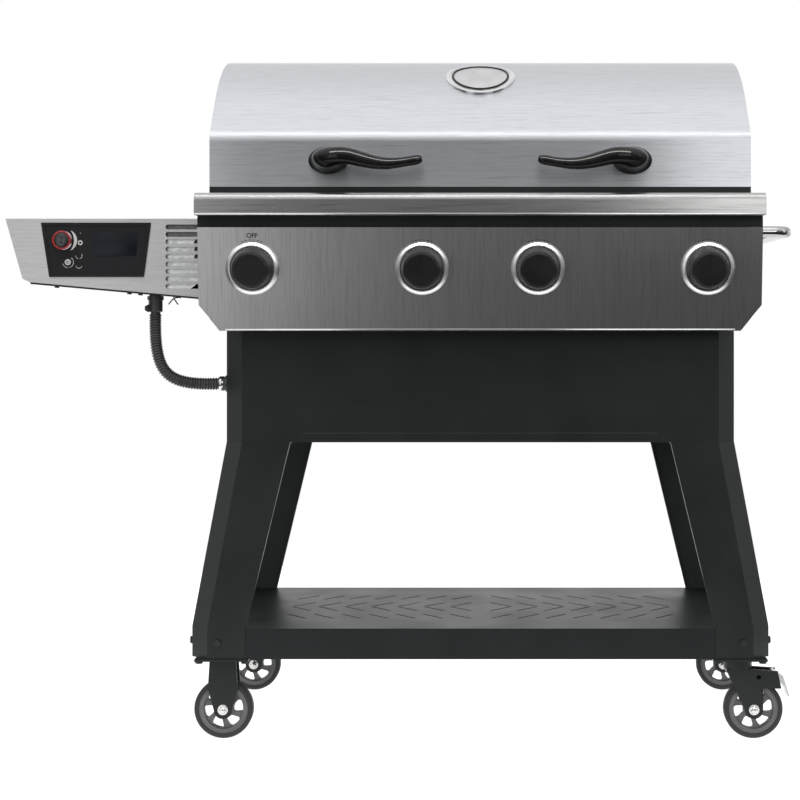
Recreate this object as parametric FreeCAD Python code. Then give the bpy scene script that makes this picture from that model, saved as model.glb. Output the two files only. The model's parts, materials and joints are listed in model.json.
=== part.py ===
"""A pellet grill on a four-leg cart: barrel lid, firebox, side hopper with auger, and casters.

Millimetres, X to the right, Y to the back, Z up from the floor. Pieces are drawn about the cart's
centre and moved at the end, so that the origin is under the middle of the whole grill.
"""
import math
import os

import FreeCAD
import Part

V = FreeCAD.Vector

# Sheet metal and running fits
SHEET = 2.0
RUN_FIT = 0.05
SLIDE_FIT = 0.1
LOOSE_FIT = 0.3
PASS_GAP = 1.0

# Cart
CART_HALF_WIDTH = 433.0
CART_HALF_DEPTH = 250.0
CORNER_BEVEL = 30.0
APRON_BOTTOM = 506.0
APRON_TOP = 695.0
KNEE_HEIGHT = 191.0
LEG_SPLAY = 59.0
LEG_TOP_WIDTH = 111.0
LEG_FOOT_WIDTH = 94.0
LEG_DEPTH = 75.0
LEG_LIP = 12.0
FOOT_PLATE = 3.5
FOOT_BOTTOM = 139.0

# Slots of the bottom shelf
SLOT_WIDTH = 4.0
SLOT_PITCH = 48.0
SLOT_RUN_X = 36.0
SLOT_ROW_DEPTH = 46.0
SLOT_INNER_ROW = 26.0
SLOT_OUTER_ROW = 114.0
SLOT_SIDE_MARGIN = 90.0

# Casters
WHEEL_RADIUS = 50.0
TYRE_THICKNESS = 8.0
WHEEL_WIDTH = 25.0
RIM_HUB_RADIUS = 13.0
RIM_SPOKES = 6
RIM_WINDOW_ROUND = 4.0
AXLE_RADIUS = 4.0
WHEEL_Y = 215.0
FIXED_CASTER_INSET = 54.0
SWIVEL_INSET = 52.0
CASTER_TRAIL = 25.5
CASTER_PLATE = 4.0
CASTER_PLATE_HALF_X = 46.0
CASTER_PLATE_HALF_Y = 38.0
FORK_SHEET = 3.0
FORK_SIDE_GAP = 3.0
FORK_AXLE_HALF = 15.5
FORK_TOP_HALF = 22.5
FORK_BULGE_HALF = 25.5
FORK_BULGE_RISE = 36.0
FORK_HOLE_RADIUS = 4.0
FORK_HOLE = (8.0, 55.0)
FORK_CROWN_TOP = 119.0
RACE_RADIUS = 24.0
KING_PIN_RADIUS = 6.0
PEDAL_WIDTH = 34.0
PEDAL_TOP = (12.5, -4.0)
PEDAL_TOE = (23.5, -38.0)
PEDAL_PIN_RADIUS = 3.0
PEDAL_PIVOT_RISE = 60.0
PEDAL_PIVOT_OUT = 34.5

# Screws
SCREW_HEAD_RADIUS = 6.5
SCREW_HEAD_HEIGHT = 4.0
FOOT_SCREW_RISE = 27.0
CASTER_BOLT_SPREAD_X = 39.0
CASTER_BOLT_SPREAD_Y = 29.0
HOPPER_SCREW_SHARES = (0.135, 0.53, 0.59)
HOPPER_SCREW_RADIUS = 4.0
HOPPER_SCREW_HEIGHT = 2.5

# Firebox, lid and what is in them
FIREBOX_OVERHANG = 18.0
FIREBOX_HALF_DEPTH = 300.0
FIREBOX_HEIGHT = 240.0
RIM_FLANGE = 20.0
LID_FRONT_HEIGHT = 87.0
LID_SLOPE = 44.0
LID_ARC_RADIUS = 343.0
LID_CREASE_RADIUS = 24.0
HINGE_OUT = 6.0
HINGE_RISE = 3.0
HINGE_KNUCKLE_RADIUS = 5.0
HINGE_PIN_RADIUS = 2.5
HINGE_X = 300.0
HINGE_KNUCKLE_LENGTH = 24.0
HINGE_LEAF_HEIGHT = 32.0
BADGE_RADIUS = 59.5
BADGE_THICKNESS = 4.0
BADGE_RIM = 6.0
BADGE_LEAN = 30.0
HORN_X = 253.0
HORN_RISE = 44.0
HORN_LENGTH = 157.0
GRATE_THICKNESS = 8.0
GRATE_DROP = 13.0
GRATE_BAR = 8.0
GRATE_SLOT = 14.0
GRATE_LEDGE = 14.0
GRATE_CROSS_BARS = 4

# Rings of the left horn handle from its collar to its tip, as shares of its length: place along X,
# out of the lid and up, half width and half height, and then the direction of the horn there
HORN_STATIONS = (
    (0.000, 0.000, 0.000, 0.207, 0.148, (0, -1, 0)),
    (0.000, -0.045, 0.000, 0.200, 0.141, (0, -1, 0)),
    (0.004, -0.090, 0.003, 0.176, 0.122, (0, -1, 0)),
    (0.018, -0.180, 0.010, 0.168, 0.117, (0.25, -0.97, 0)),
    (0.085, -0.270, 0.020, 0.135, 0.104, (0.7, -0.71, 0)),
    (0.217, -0.312, 0.022, 0.091, 0.090, (0.99, -0.12, -0.1)),
    (0.344, -0.318, -0.008, 0.083, 0.082, (0.96, 0.0, -0.28)),
    (0.605, -0.312, -0.057, 0.066, 0.065, (1, 0.02, 0.0)),
    (0.873, -0.293, -0.031, 0.053, 0.052, (0.97, 0.08, 0.2)),
    (0.975, -0.283, -0.011, 0.046, 0.045, (0.97, 0.1, 0.2)),
    (1.000, -0.280, -0.005, 0.031, 0.030, (0.97, 0.1, 0.2)),
)

# Front ledge and control panel
LEDGE_PROUD = 0.5
LEDGE_REACH = 65.0
LEDGE_HEIGHT = 37.0
LEDGE_DROP = 13.5
LEDGE_NOSE = 12.0
PANEL_OVERHANG = 16.0
PANEL_HEIGHT = 171.0
PANEL_REACH = 30.0
PANEL_TILT = 7.0
PANEL_CHAMFER_RISE = 43.0
PANEL_CHAMFER_RUN = 35.0
KNOB_RISE = 104.0
KNOB_SIDE_MARGIN = 90.0
KNOB_INNER_X = 96.0
KNOB_RADIUS = 35.0
KNOB_FRONT_RADIUS = 30.0
KNOB_LENGTH = 31.0
BEZEL_RADIUS = 44.5
BEZEL_THICKNESS = 7.0
SHAFT_RADIUS = 4.0
SWITCH_HALF = 22.0
SWITCH_DEPTH = 15.0
VANE_HALF_WIDTH = 40.0
VANE_START = 90.0
VANE_LENGTH = 320.0
VANE_GAP = 2.0
BEARING_LENGTH = 12.0
DEFLECTOR_FRONT = 34.0
DEFLECTOR_LENGTH = 520.0
DEFLECTOR_RAIL = 14.0

# Lower tub, grease tray and fire pot
TUB_SIDE_GAP = 33.0
TUB_HALF_DEPTH = 225.0
TUB_DEPTH = 55.0
TUB_FLANGE = 15.0
DRAIN_RADIUS = 20.0
DRAIN_Y = 120.0
TRAY_HALF_WIDTH = 150.0
TRAY_DROP = 40.0
TRAY_DEPTH = 70.0
TRAY_FRONT = -150.0
TRAY_FLANGE = 10.0
TRAY_HANDLE_REACH = 22.0
POT_RADIUS = 65.0
POT_WALL = 3.0
POT_HEIGHT = 150.0
IGNITER_RADIUS = 5.0
IGNITER_RISE = 25.0
IGNITER_LENGTH = 75.0

# Hopper; each spot is its distance out from the firebox wall and its rise above the apron
HOPPER_WIDTH = 355.0
HOPPER_RISE = 190.0
HOPPER_FRONT = -240.0
HOPPER_BACK = 150.0
HOPPER_LOW_RIGHT_RISE = 54.0
HOPPER_LOW_LEFT_SPOT = (313.0, 82.0)
HOPPER_TIP_SPOT = (326.0, 88.0)
BOTTOM_PLATE = 3.0
LOUVRE_COUNT = 9
LOUVRE_PITCH = 12.6
LOUVRE_HEIGHT = 8.3
LOUVRE_LENGTH = 64.0
LOUVRE_OUT = 19.0
LOUVRE_RISE = 180.0
HOPPER_HINGE_RADIUS = 4.0
HOPPER_HINGE_PIN = 2.0
AUGER_Y = -45.0
AUGER_START_SPOT = (279.0, 108.6)
AUGER_TILT = 4.0
AUGER_TUBE_RADIUS = 23.0
AUGER_RADIUS = 18.5
AUGER_CORE = 6.0
AUGER_PITCH = 45.0
AUGER_FLIGHT = 3.0
BIN_WIDTH = 213.0
BIN_OUT = 94.0
BIN_FRONT = -170.0
BIN_BACK = 136.0
BIN_NECK_RISE = 137.0
BIN_NECK_WIDTH = 150.0
BIN_NECK_OUT = 111.0
BIN_NECK_HALF = 18.0
MOTOR_LENGTH = 42.0
FAN_Y = 72.0
FAN_RISE = 123.0
FAN_RADIUS = 50.0
FAN_WIDTH = 44.0
FAN_DUCT = 26.0
FAN_SHAFT = 3.0
FAN_ARMS = 3
FAN_BLADES = 7
INLET_HALF_WIDTH = 20.0
INLET_HALF_HEIGHT = 14.0
INLET_DEPTH = 14.0
INLET_WALL = 4.0
INLET_EAR = 8.0
INLET_BLADE_PITCH = 8.0

# Controller on the hopper's front: its top and bottom edges by their two distances out and their rise
CONTROLLER_TOP_EDGE = (294.0, 108.0, 183.0)
CONTROLLER_LOW_EDGE = (280.0, 120.0, 91.0)
CONTROLLER_PROUD = 4.0
CONTROLLER_FRAME = 5.0
CONTROLLER_RECESS = 1.5
CONTROLLER_BODY = 42.0
DIAL_SPOT = (256.5, 153.0)
DIAL_RADIUS = 16.0
DIAL_LENGTH = 13.0
DIAL_SHAFT = 3.0
POWER_SPOT = (248.0, 116.0)
POWER_RADIUS = 7.0
MENU_UPPER_SPOT = (229.5, 127.0)
MENU_LOWER_SPOT = (229.5, 111.0)
MENU_RADIUS = 4.0
BUTTON_TRAVEL = 1.5
BUTTON_PROUD = 2.0
BUTTON_LENGTH = 14.0

# Ribbed hose from the hopper to the apron
HOSE_RADIUS = 10.7
HOSE_VALLEY = 8.9
HOSE_BORE = 7.0
HOSE_OUT = 107.0
HOSE_Y = -200.0
HOSE_TOP_RISE = 32.0
HOSE_LOW_DROP = 91.0
HOSE_BEND = 57.0
RIB_PITCH = 5.2
FITTING_LENGTH = 10.0
FITTING_FLANGE = 14.0
FITTING_NUT = 12.0
GLAND_LENGTH = 28.0

# Side handle
HANDLE_RADIUS = 9.8
HANDLE_REACH = 72.5
HANDLE_HALF_LENGTH = 230.0
HANDLE_BEND = 26.0
HANDLE_RISE = 168.0
HANDLE_FLANGE = 20.0


def beside_firebox(spot):
    """X and Z of a spot on the hopper's front."""
    out, rise = spot
    return -FIREBOX_HALF_WIDTH - out, APRON_TOP + rise


# Values that follow from the driving ones
FIREBOX_HALF_WIDTH = CART_HALF_WIDTH + FIREBOX_OVERHANG
LID_HALF_WIDTH = FIREBOX_HALF_WIDTH
PANEL_HALF_WIDTH = FIREBOX_HALF_WIDTH + PANEL_OVERHANG
LEDGE_HALF_WIDTH = PANEL_HALF_WIDTH + LEDGE_PROUD
KNOB_OUTER_X = PANEL_HALF_WIDTH - KNOB_SIDE_MARGIN
TUB_HALF_WIDTH = CART_HALF_WIDTH - TUB_SIDE_GAP
FOOT_OUTER = CART_HALF_WIDTH + LEG_SPLAY
FIXED_CASTER_X = FIXED_CASTER_INSET - FOOT_OUTER
SWIVEL_X = FOOT_OUTER - SWIVEL_INSET
SHELF_HALF_WIDTH = FOOT_OUTER - SHEET
SHELF_HALF_DEPTH = CART_HALF_DEPTH - LEG_LIP
FIREBOX_INNER = FIREBOX_HALF_WIDTH - SHEET
FIREBOX_FOOT = CART_HALF_WIDTH + PASS_GAP
FIREBOX_CHAMFER_RISE = (FIREBOX_HALF_WIDTH - FIREBOX_FOOT) * PANEL_CHAMFER_RISE / PANEL_CHAMFER_RUN
RIM_Z = APRON_TOP + FIREBOX_HEIGHT
GRATE_TOP = RIM_Z - GRATE_DROP
PANEL_TOP = APRON_TOP + PANEL_HEIGHT
KNOB_Z = APRON_TOP + KNOB_RISE
TUB_FLOOR = APRON_TOP - TUB_DEPTH
TRAY_TOP = TUB_FLOOR - TRAY_DROP
HANDLE_Z = APRON_TOP + HANDLE_RISE
LID_CREASE_Z = RIM_Z + LID_FRONT_HEIGHT
HORN_Z = RIM_Z + HORN_RISE
LEDGE_TOP = RIM_Z - LEDGE_DROP
LEDGE_BOTTOM = LEDGE_TOP - LEDGE_HEIGHT
PANEL_FRONT = -FIREBOX_HALF_DEPTH - PANEL_REACH
TILT_TAN = math.tan(math.radians(PANEL_TILT))
KNOB_Y = PANEL_FRONT + (PANEL_TOP - KNOB_Z) * TILT_TAN
DAMPER_X = {"left": -KNOB_INNER_X, "centre": KNOB_INNER_X, "right": KNOB_OUTER_X}
HINGE_Y = FIREBOX_HALF_DEPTH + HINGE_OUT
HINGE_Z = RIM_Z + HINGE_RISE
SWIVEL_AXLE_X = SWIVEL_X + CASTER_TRAIL
PEDAL_PIVOT_X = SWIVEL_AXLE_X + PEDAL_PIVOT_OUT
PEDAL_PIVOT_Z = WHEEL_RADIUS + PEDAL_PIVOT_RISE
PLATE_BOTTOM = FOOT_BOTTOM - CASTER_PLATE
HOPPER_RIGHT = -FIREBOX_HALF_WIDTH
HOPPER_LEFT = HOPPER_RIGHT - HOPPER_WIDTH
HOPPER_TOP = APRON_TOP + HOPPER_RISE
HOPPER_LOW_RIGHT_Z = APRON_TOP + HOPPER_LOW_RIGHT_RISE
HOPPER_LOW_LEFT = beside_firebox(HOPPER_LOW_LEFT_SPOT)
HOPPER_TIP = beside_firebox(HOPPER_TIP_SPOT)
LOUVRE_RIGHT = HOPPER_RIGHT - LOUVRE_OUT
LOUVRE_LEFT = LOUVRE_RIGHT - LOUVRE_LENGTH
LOUVRE_TOP_Z = APRON_TOP + LOUVRE_RISE
AUGER_START_X, AUGER_START_Z = beside_firebox(AUGER_START_SPOT)
BIN_RIGHT = HOPPER_RIGHT - BIN_OUT
BIN_LEFT = BIN_RIGHT - BIN_WIDTH
BIN_NECK_RIGHT = HOPPER_RIGHT - BIN_NECK_OUT
BIN_NECK_LEFT = BIN_NECK_RIGHT - BIN_NECK_WIDTH
BIN_NECK_Z = APRON_TOP + BIN_NECK_RISE
FAN_Z = APRON_TOP + FAN_RISE
DIAL_CENTRE = beside_firebox(DIAL_SPOT)
POWER_CENTRE = beside_firebox(POWER_SPOT)
MENU_UPPER_CENTRE = beside_firebox(MENU_UPPER_SPOT)
MENU_LOWER_CENTRE = beside_firebox(MENU_LOWER_SPOT)
HOSE_X = HOPPER_RIGHT - HOSE_OUT
HOSE_TOP = APRON_TOP + HOSE_TOP_RISE
HOSE_LOW = APRON_TOP - HOSE_LOW_DROP
HOPPER_HINGE_Y = HOPPER_BACK + HOPPER_HINGE_RADIUS + PASS_GAP
HOPPER_COVER_Z = HOPPER_TOP - 2 * SHEET
CONTROLLER_FACE_Y = HOPPER_FRONT - CONTROLLER_PROUD + CONTROLLER_RECESS


def box(x0, x1, y0, y1, z0, z1):
    """Block between two corners."""
    return Part.makeBox(x1 - x0, y1 - y0, z1 - z0, V(x0, y0, z0))


def rod(start, axis, radius, length):
    """Round bar from a start point along an axis."""
    return Part.makeCylinder(radius, length, V(*start), V(*axis))


def face_of(points):
    """Flat face inside a closed run of points."""
    return Part.Face(Part.makePolygon(points + points[:1]))


def level_loop(points, z):
    """Closed wire through points at one height."""
    corners = [V(x, y, z) for x, y in points]
    return Part.makePolygon(corners + corners[:1])


def holed_face(wires):
    """Flat face with an outer wire and holes."""
    return Part.makeFace(wires, "Part::FaceMakerBullseye")


def prism_xy(points, z0, z1):
    return face_of([V(x, y, z0) for x, y in points]).extrude(V(0, 0, z1 - z0))


def prism_xz(points, y0, y1):
    return face_of([V(x, y0, z) for x, z in points]).extrude(V(0, y1 - y0, 0))


def prism_yz(points, x0, x1):
    return face_of([V(x0, y, z) for y, z in points]).extrude(V(x1 - x0, 0, 0))


def turned(points, start, axis):
    """Solid of revolution: points are (radius, distance along the axis) from a start point."""
    profile = face_of([V(r, 0, h) for r, h in points])
    shape = profile.revolve(V(0, 0, 0), V(0, 0, 1), 360)
    shape.rotate(V(0, 0, 0), *turn_from_z(axis))
    return shape.translated(V(*start))


def turn_from_z(axis):
    """Axis and angle of the rotation that takes +Z to the given direction."""
    rotation = FreeCAD.Rotation(V(0, 0, 1), V(*axis))
    return rotation.Axis, math.degrees(rotation.Angle)


def union(first, *others):
    return first.fuse(list(others)).removeSplitter()


def group(shapes):
    """Several separate solids in one node."""
    return Part.makeCompound([solid for shape in shapes for solid in shape.Solids])


def mirror_x(shape):
    return shape.mirror(V(0, 0, 0), V(1, 0, 0))


def mirror_y(shape):
    return shape.mirror(V(0, 0, 0), V(0, 1, 0))


def inset(points, distances):
    """Move each edge of a counter-clockwise outline inwards, by one distance or one for each edge."""
    count = len(points)
    if not isinstance(distances, (list, tuple)):
        distances = [distances] * count
    lines = []
    for i in range(count):
        (ax, ay), (bx, by) = points[i], points[(i + 1) % count]
        length = math.hypot(bx - ax, by - ay)
        nx, ny = -(by - ay) / length, (bx - ax) / length
        lines.append((nx, ny, nx * ax + ny * ay + distances[i]))
    moved = []
    for i in range(count):
        a, b, c = lines[i - 1]
        d, e, f = lines[i]
        det = a * e - b * d
        moved.append(((c * e - b * f) / det, (a * f - c * d) / det))
    return moved


def bevelled(half_x, half_y, bevel):
    """Rectangle about the centre with its corners cut at 45 degrees."""
    return [
        (half_x - bevel, -half_y), (half_x, -half_y + bevel),
        (half_x, half_y - bevel), (half_x - bevel, half_y),
        (-half_x + bevel, half_y), (-half_x, half_y - bevel),
        (-half_x, -half_y + bevel), (-half_x + bevel, -half_y),
    ]


def rectangle(half_x, half_y):
    return [(-half_x, -half_y), (half_x, -half_y), (half_x, half_y), (-half_x, half_y)]


def rounded_wire(points, radii, closed=True):
    """Wire through points, with each corner rounded by a tangent arc of its radius (0 keeps it sharp)."""
    count = len(points)
    stops = []
    for i, (corner, radius) in enumerate(zip(points, radii)):
        if radius == 0 or (not closed and i in (0, count - 1)):
            stops.append((corner, corner, corner))
            continue
        back = (points[i - 1] - corner).normalize()
        ahead = (points[(i + 1) % count] - corner).normalize()
        half = back.getAngle(ahead) / 2
        reach = radius / math.tan(half)
        middle = (back + ahead).normalize() * (radius / math.sin(half) - radius)
        stops.append((corner + back * reach, corner + middle, corner + ahead * reach))
    edges = []
    for i, (start, middle, end) in enumerate(stops):
        if start.distanceToPoint(end) > 1e-6:
            edges.append(Part.Arc(start, middle, end).toShape())
        following = stops[(i + 1) % count][0]
        if (closed or i < count - 1) and end.distanceToPoint(following) > 1e-6:
            edges.append(Part.LineSegment(end, following).toShape())
    return Part.Wire(edges)


def bent_rod(points, bend, radius):
    """Round bar along straight runs joined by tangent arcs."""
    corners = [V(*point) for point in points]
    path = rounded_wire(corners, [bend] * len(corners), closed=False)
    start = Part.Wire(Part.makeCircle(radius, corners[0], corners[1] - corners[0]))
    return path.makePipeShell([start], True, False)


def hex_head(start, axis, radius=SCREW_HEAD_RADIUS, height=SCREW_HEAD_HEIGHT):
    """Hexagon screw head standing on a face."""
    corners = [V(radius * math.cos(math.radians(60 * k)), radius * math.sin(math.radians(60 * k)), 0)
               for k in range(6)]
    head = face_of(corners).extrude(V(0, 0, height))
    head.rotate(V(0, 0, 0), *turn_from_z(axis))
    return head.translated(V(*start))


def on_panel(shape):
    """Move a piece drawn square to the knob row into the tilted panel's place."""
    moved = shape.copy()
    moved.rotate(V(0, 0, 0), V(1, 0, 0), PANEL_TILT)
    return moved.translated(V(0, KNOB_Y, KNOB_Z))


def along_auger(shape):
    """Move a piece drawn along +X from the auger's motor end into the sloping auger line."""
    moved = shape.copy()
    moved.rotate(V(0, 0, 0), V(0, 1, 0), AUGER_TILT)
    return moved.translated(V(AUGER_START_X, AUGER_Y, AUGER_START_Z))


def make_apron():
    """Box under the firebox, with bevelled corners, a bottom flange and the tray's mouth at the back."""
    outline = bevelled(CART_HALF_WIDTH, CART_HALF_DEPTH, CORNER_BEVEL)
    inside = inset(outline, SHEET)
    walls = prism_xy(outline, APRON_BOTTOM, APRON_TOP).cut(prism_xy(inside, APRON_BOTTOM, APRON_TOP))
    flange = prism_xy(inside, APRON_BOTTOM, APRON_BOTTOM + SHEET)
    middle = rectangle(CART_HALF_WIDTH - LEG_TOP_WIDTH, CART_HALF_DEPTH - LEG_DEPTH)
    flange = flange.cut(prism_xy(middle, APRON_BOTTOM, APRON_BOTTOM + SHEET))
    mouth_half = TRAY_HALF_WIDTH + TRAY_FLANGE + PASS_GAP
    mouth = box(-mouth_half, mouth_half, CART_HALF_DEPTH - 2 * SHEET, CART_HALF_DEPTH + SHEET,
                TRAY_TOP - TRAY_DEPTH - PASS_GAP, TRAY_TOP + PASS_GAP)
    hose_hole = rod((-CART_HALF_WIDTH - SHEET, HOSE_Y, HOSE_LOW), (1, 0, 0), HOSE_BORE, 3 * SHEET)
    return union(walls, flange).cut(mouth).cut(hose_hole)


def leg_section(outer, inner, z, lip):
    """Level cut through the front right leg: front flange, bevel and side flange, with a lip inside."""
    front = -CART_HALF_DEPTH
    turn = SHEET * math.tan(math.radians(22.5))
    points = [
        (inner, front), (outer - CORNER_BEVEL, front), (outer, front + CORNER_BEVEL),
        (outer, front + LEG_DEPTH), (outer - SHEET, front + LEG_DEPTH),
        (outer - SHEET, front + CORNER_BEVEL + turn), (outer - CORNER_BEVEL - turn, front + SHEET),
    ]
    if lip:
        points += [(inner + SHEET, front + SHEET), (inner + SHEET, front + LEG_LIP)]
        points += [(inner, front + LEG_LIP)]
    else:
        points += [(inner, front + SHEET)]
    return level_loop(points, z)


def leg_plate(outer, inner, z0, z1):
    """Level plate that closes a leg's top or foot."""
    front = -CART_HALF_DEPTH
    return prism_xy([(inner, front), (outer - CORNER_BEVEL, front), (outer, front + CORNER_BEVEL),
                     (outer, front + LEG_DEPTH), (inner, front + LEG_DEPTH)], z0, z1)


def make_front_right_leg():
    top_inner = CART_HALF_WIDTH - LEG_TOP_WIDTH
    foot_inner = FOOT_OUTER - LEG_FOOT_WIDTH
    upper = Part.makeLoft([leg_section(CART_HALF_WIDTH, top_inner, APRON_BOTTOM, True),
                           leg_section(FOOT_OUTER, foot_inner, KNEE_HEIGHT, True)], True, True)
    lower = Part.makeLoft([leg_section(FOOT_OUTER, foot_inner, KNEE_HEIGHT, False),
                           leg_section(FOOT_OUTER, foot_inner, FOOT_BOTTOM, False)], True, True)
    top = leg_plate(CART_HALF_WIDTH, top_inner, APRON_BOTTOM - SHEET, APRON_BOTTOM)
    foot = leg_plate(FOOT_OUTER, foot_inner, FOOT_BOTTOM, FOOT_BOTTOM + FOOT_PLATE)
    return union(upper, lower, top, foot)


def make_front_legs():
    leg = make_front_right_leg()
    return group([leg, mirror_x(leg)])


def make_rear_legs():
    return mirror_y(make_front_legs())


def shelf_slots():
    """Corner points of the slanted slots: the rows point outwards at the middle of the shelf."""
    count = int((SHELF_HALF_WIDTH - SLOT_SIDE_MARGIN - SLOT_RUN_X) / SLOT_PITCH)
    width = SLOT_WIDTH * math.hypot(SLOT_RUN_X, SLOT_ROW_DEPTH) / SLOT_ROW_DEPTH
    slots = []
    for middle in (-SLOT_OUTER_ROW, -SLOT_INNER_ROW, SLOT_INNER_ROW, SLOT_OUTER_ROW):
        y = middle - SLOT_ROW_DEPTH / 2
        lean = SLOT_RUN_X if middle > 0 else -SLOT_RUN_X
        for k in range(count):
            x = -SLOT_PITCH * (k + 0.75) - (lean + width) / 2
            far = y + SLOT_ROW_DEPTH
            left = [(x, y), (x + width, y), (x + width + lean, far), (x + lean, far)]
            slots.append(left)
            slots.append([(-px, py) for px, py in reversed(left)])
    return slots


def shelf_nose():
    """Front fold of the shelf, flush with the legs' faces between their feet."""
    reach = FOOT_OUTER - LEG_FOOT_WIDTH - LOOSE_FIT
    front = -CART_HALF_DEPTH
    deck = box(-reach, reach, front, SHEET - SHELF_HALF_DEPTH, KNEE_HEIGHT - SHEET, KNEE_HEIGHT)
    lip = box(-reach, reach, front, front + SHEET, FOOT_BOTTOM, KNEE_HEIGHT)
    return deck.fuse(lip)


def make_bottom_shelf():
    """Folded pan between the legs, resting on their foot plates."""
    bevel_sum = FOOT_OUTER + CART_HALF_DEPTH - CORNER_BEVEL - SHEET * math.sqrt(2)
    bevel = SHELF_HALF_WIDTH + SHELF_HALF_DEPTH - bevel_sum + LOOSE_FIT
    outline = bevelled(SHELF_HALF_WIDTH, SHELF_HALF_DEPTH, bevel)
    top_z = KNEE_HEIGHT - SHEET
    wires = [level_loop(loop, top_z) for loop in [outline] + shelf_slots()]
    top = holed_face(wires).extrude(V(0, 0, SHEET))
    low = FOOT_BOTTOM + FOOT_PLATE
    skirt = prism_xy(outline, low, top_z).cut(prism_xy(inset(outline, SHEET), low, top_z))
    return union(top, skirt, shelf_nose(), mirror_y(shelf_nose()))


def fork_arm(points, axle_x, wheel_y, side):
    """One side plate of a caster fork, with its round end and axle hole."""
    inner = WHEEL_WIDTH / 2 + FORK_SIDE_GAP
    y0, y1 = sorted([wheel_y + side * inner, wheel_y + side * (inner + FORK_SHEET)])
    arm = prism_xz(points, y0, y1)
    end = rod((axle_x, y0, WHEEL_RADIUS), (0, 1, 0), FORK_AXLE_HALF, y1 - y0)
    hole = rod((axle_x, y0, WHEEL_RADIUS), (0, 1, 0), AXLE_RADIUS + RUN_FIT, y1 - y0)
    return arm.fuse(end).cut(hole)


def axle_bolt(axle_x, wheel_y):
    """Axle through a fork, with a hexagon head at each end."""
    half = WHEEL_WIDTH / 2 + FORK_SIDE_GAP + FORK_SHEET
    bar = rod((axle_x, wheel_y - half, WHEEL_RADIUS), (0, 1, 0), AXLE_RADIUS, 2 * half)
    return union(bar, hex_head((axle_x, wheel_y - half, WHEEL_RADIUS), (0, -1, 0)),
                 hex_head((axle_x, wheel_y + half, WHEEL_RADIUS), (0, 1, 0)))


def caster_plate(x, y):
    return box(x - CASTER_PLATE_HALF_X, x + CASTER_PLATE_HALF_X,
               y - CASTER_PLATE_HALF_Y, y + CASTER_PLATE_HALF_Y, PLATE_BOTTOM, FOOT_BOTTOM)


def make_fixed_forks():
    """The two left casters' forks, which do not turn, with their axle bolts."""
    solids = []
    for y in (-WHEEL_Y, WHEEL_Y):
        x = FIXED_CASTER_X
        right = [(x + FORK_AXLE_HALF, WHEEL_RADIUS), (x + FORK_BULGE_HALF, WHEEL_RADIUS + FORK_BULGE_RISE),
                 (x + FORK_TOP_HALF, PLATE_BOTTOM)]
        sides = right + [(2 * x - px, pz) for px, pz in reversed(right)]
        arms = [fork_arm(sides, x, y, side) for side in (-1, 1)]
        solids += [union(caster_plate(x, y), *arms), axle_bolt(x, y)]
    return group(solids)


def make_swivel_plates():
    """Top plates and ball races of the two right casters."""
    solids = []
    for y in (-WHEEL_Y, WHEEL_Y):
        race_z = FORK_CROWN_TOP + LOOSE_FIT
        race = rod((SWIVEL_X, y, race_z), (0, 0, 1), RACE_RADIUS, PLATE_BOTTOM - race_z)
        socket = rod((SWIVEL_X, y, race_z), (0, 0, 1), KING_PIN_RADIUS + RUN_FIT, PLATE_BOTTOM - race_z)
        solids.append(union(caster_plate(SWIVEL_X, y), race).cut(socket))
    return group(solids)


def make_swivel_fork(y):
    """Trailing fork of a right caster, with king pin, pedal pin and axle bolt."""
    half = WHEEL_WIDTH / 2 + FORK_SIDE_GAP + FORK_SHEET
    crown_low = FORK_CROWN_TOP - 2 * FORK_SHEET
    top_half = RACE_RADIUS - FORK_SHEET
    lug = PEDAL_PIN_RADIUS + FORK_SHEET
    wing_low = WHEEL_RADIUS + FORK_BULGE_RISE
    sides = [(SWIVEL_X - top_half, FORK_CROWN_TOP), (SWIVEL_X + top_half, FORK_CROWN_TOP),
             (PEDAL_PIVOT_X + lug, PEDAL_PIVOT_Z + lug), (PEDAL_PIVOT_X + 2 * lug, wing_low),
             (SWIVEL_AXLE_X + FORK_AXLE_HALF, wing_low),
             (SWIVEL_AXLE_X + FORK_AXLE_HALF, WHEEL_RADIUS), (SWIVEL_AXLE_X - FORK_AXLE_HALF, WHEEL_RADIUS)]
    light_hole = rod((SWIVEL_AXLE_X + FORK_HOLE[0], y - half, WHEEL_RADIUS + FORK_HOLE[1]), (0, 1, 0),
                     FORK_HOLE_RADIUS, 2 * half)
    arms = [fork_arm(sides, SWIVEL_AXLE_X, y, side).cut(light_hole) for side in (-1, 1)]
    crown = box(SWIVEL_X - top_half, SWIVEL_X + top_half, y - half, y + half, crown_low, FORK_CROWN_TOP)
    pin_top = PLATE_BOTTOM - PASS_GAP
    king_pin = rod((SWIVEL_X, y, crown_low), (0, 0, 1), KING_PIN_RADIUS, pin_top - crown_low)
    pedal_pin = rod((PEDAL_PIVOT_X, y - half, PEDAL_PIVOT_Z), (0, 1, 0), PEDAL_PIN_RADIUS, 2 * half)
    return group([union(crown, king_pin, pedal_pin, *arms), axle_bolt(SWIVEL_AXLE_X, y)])


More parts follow.
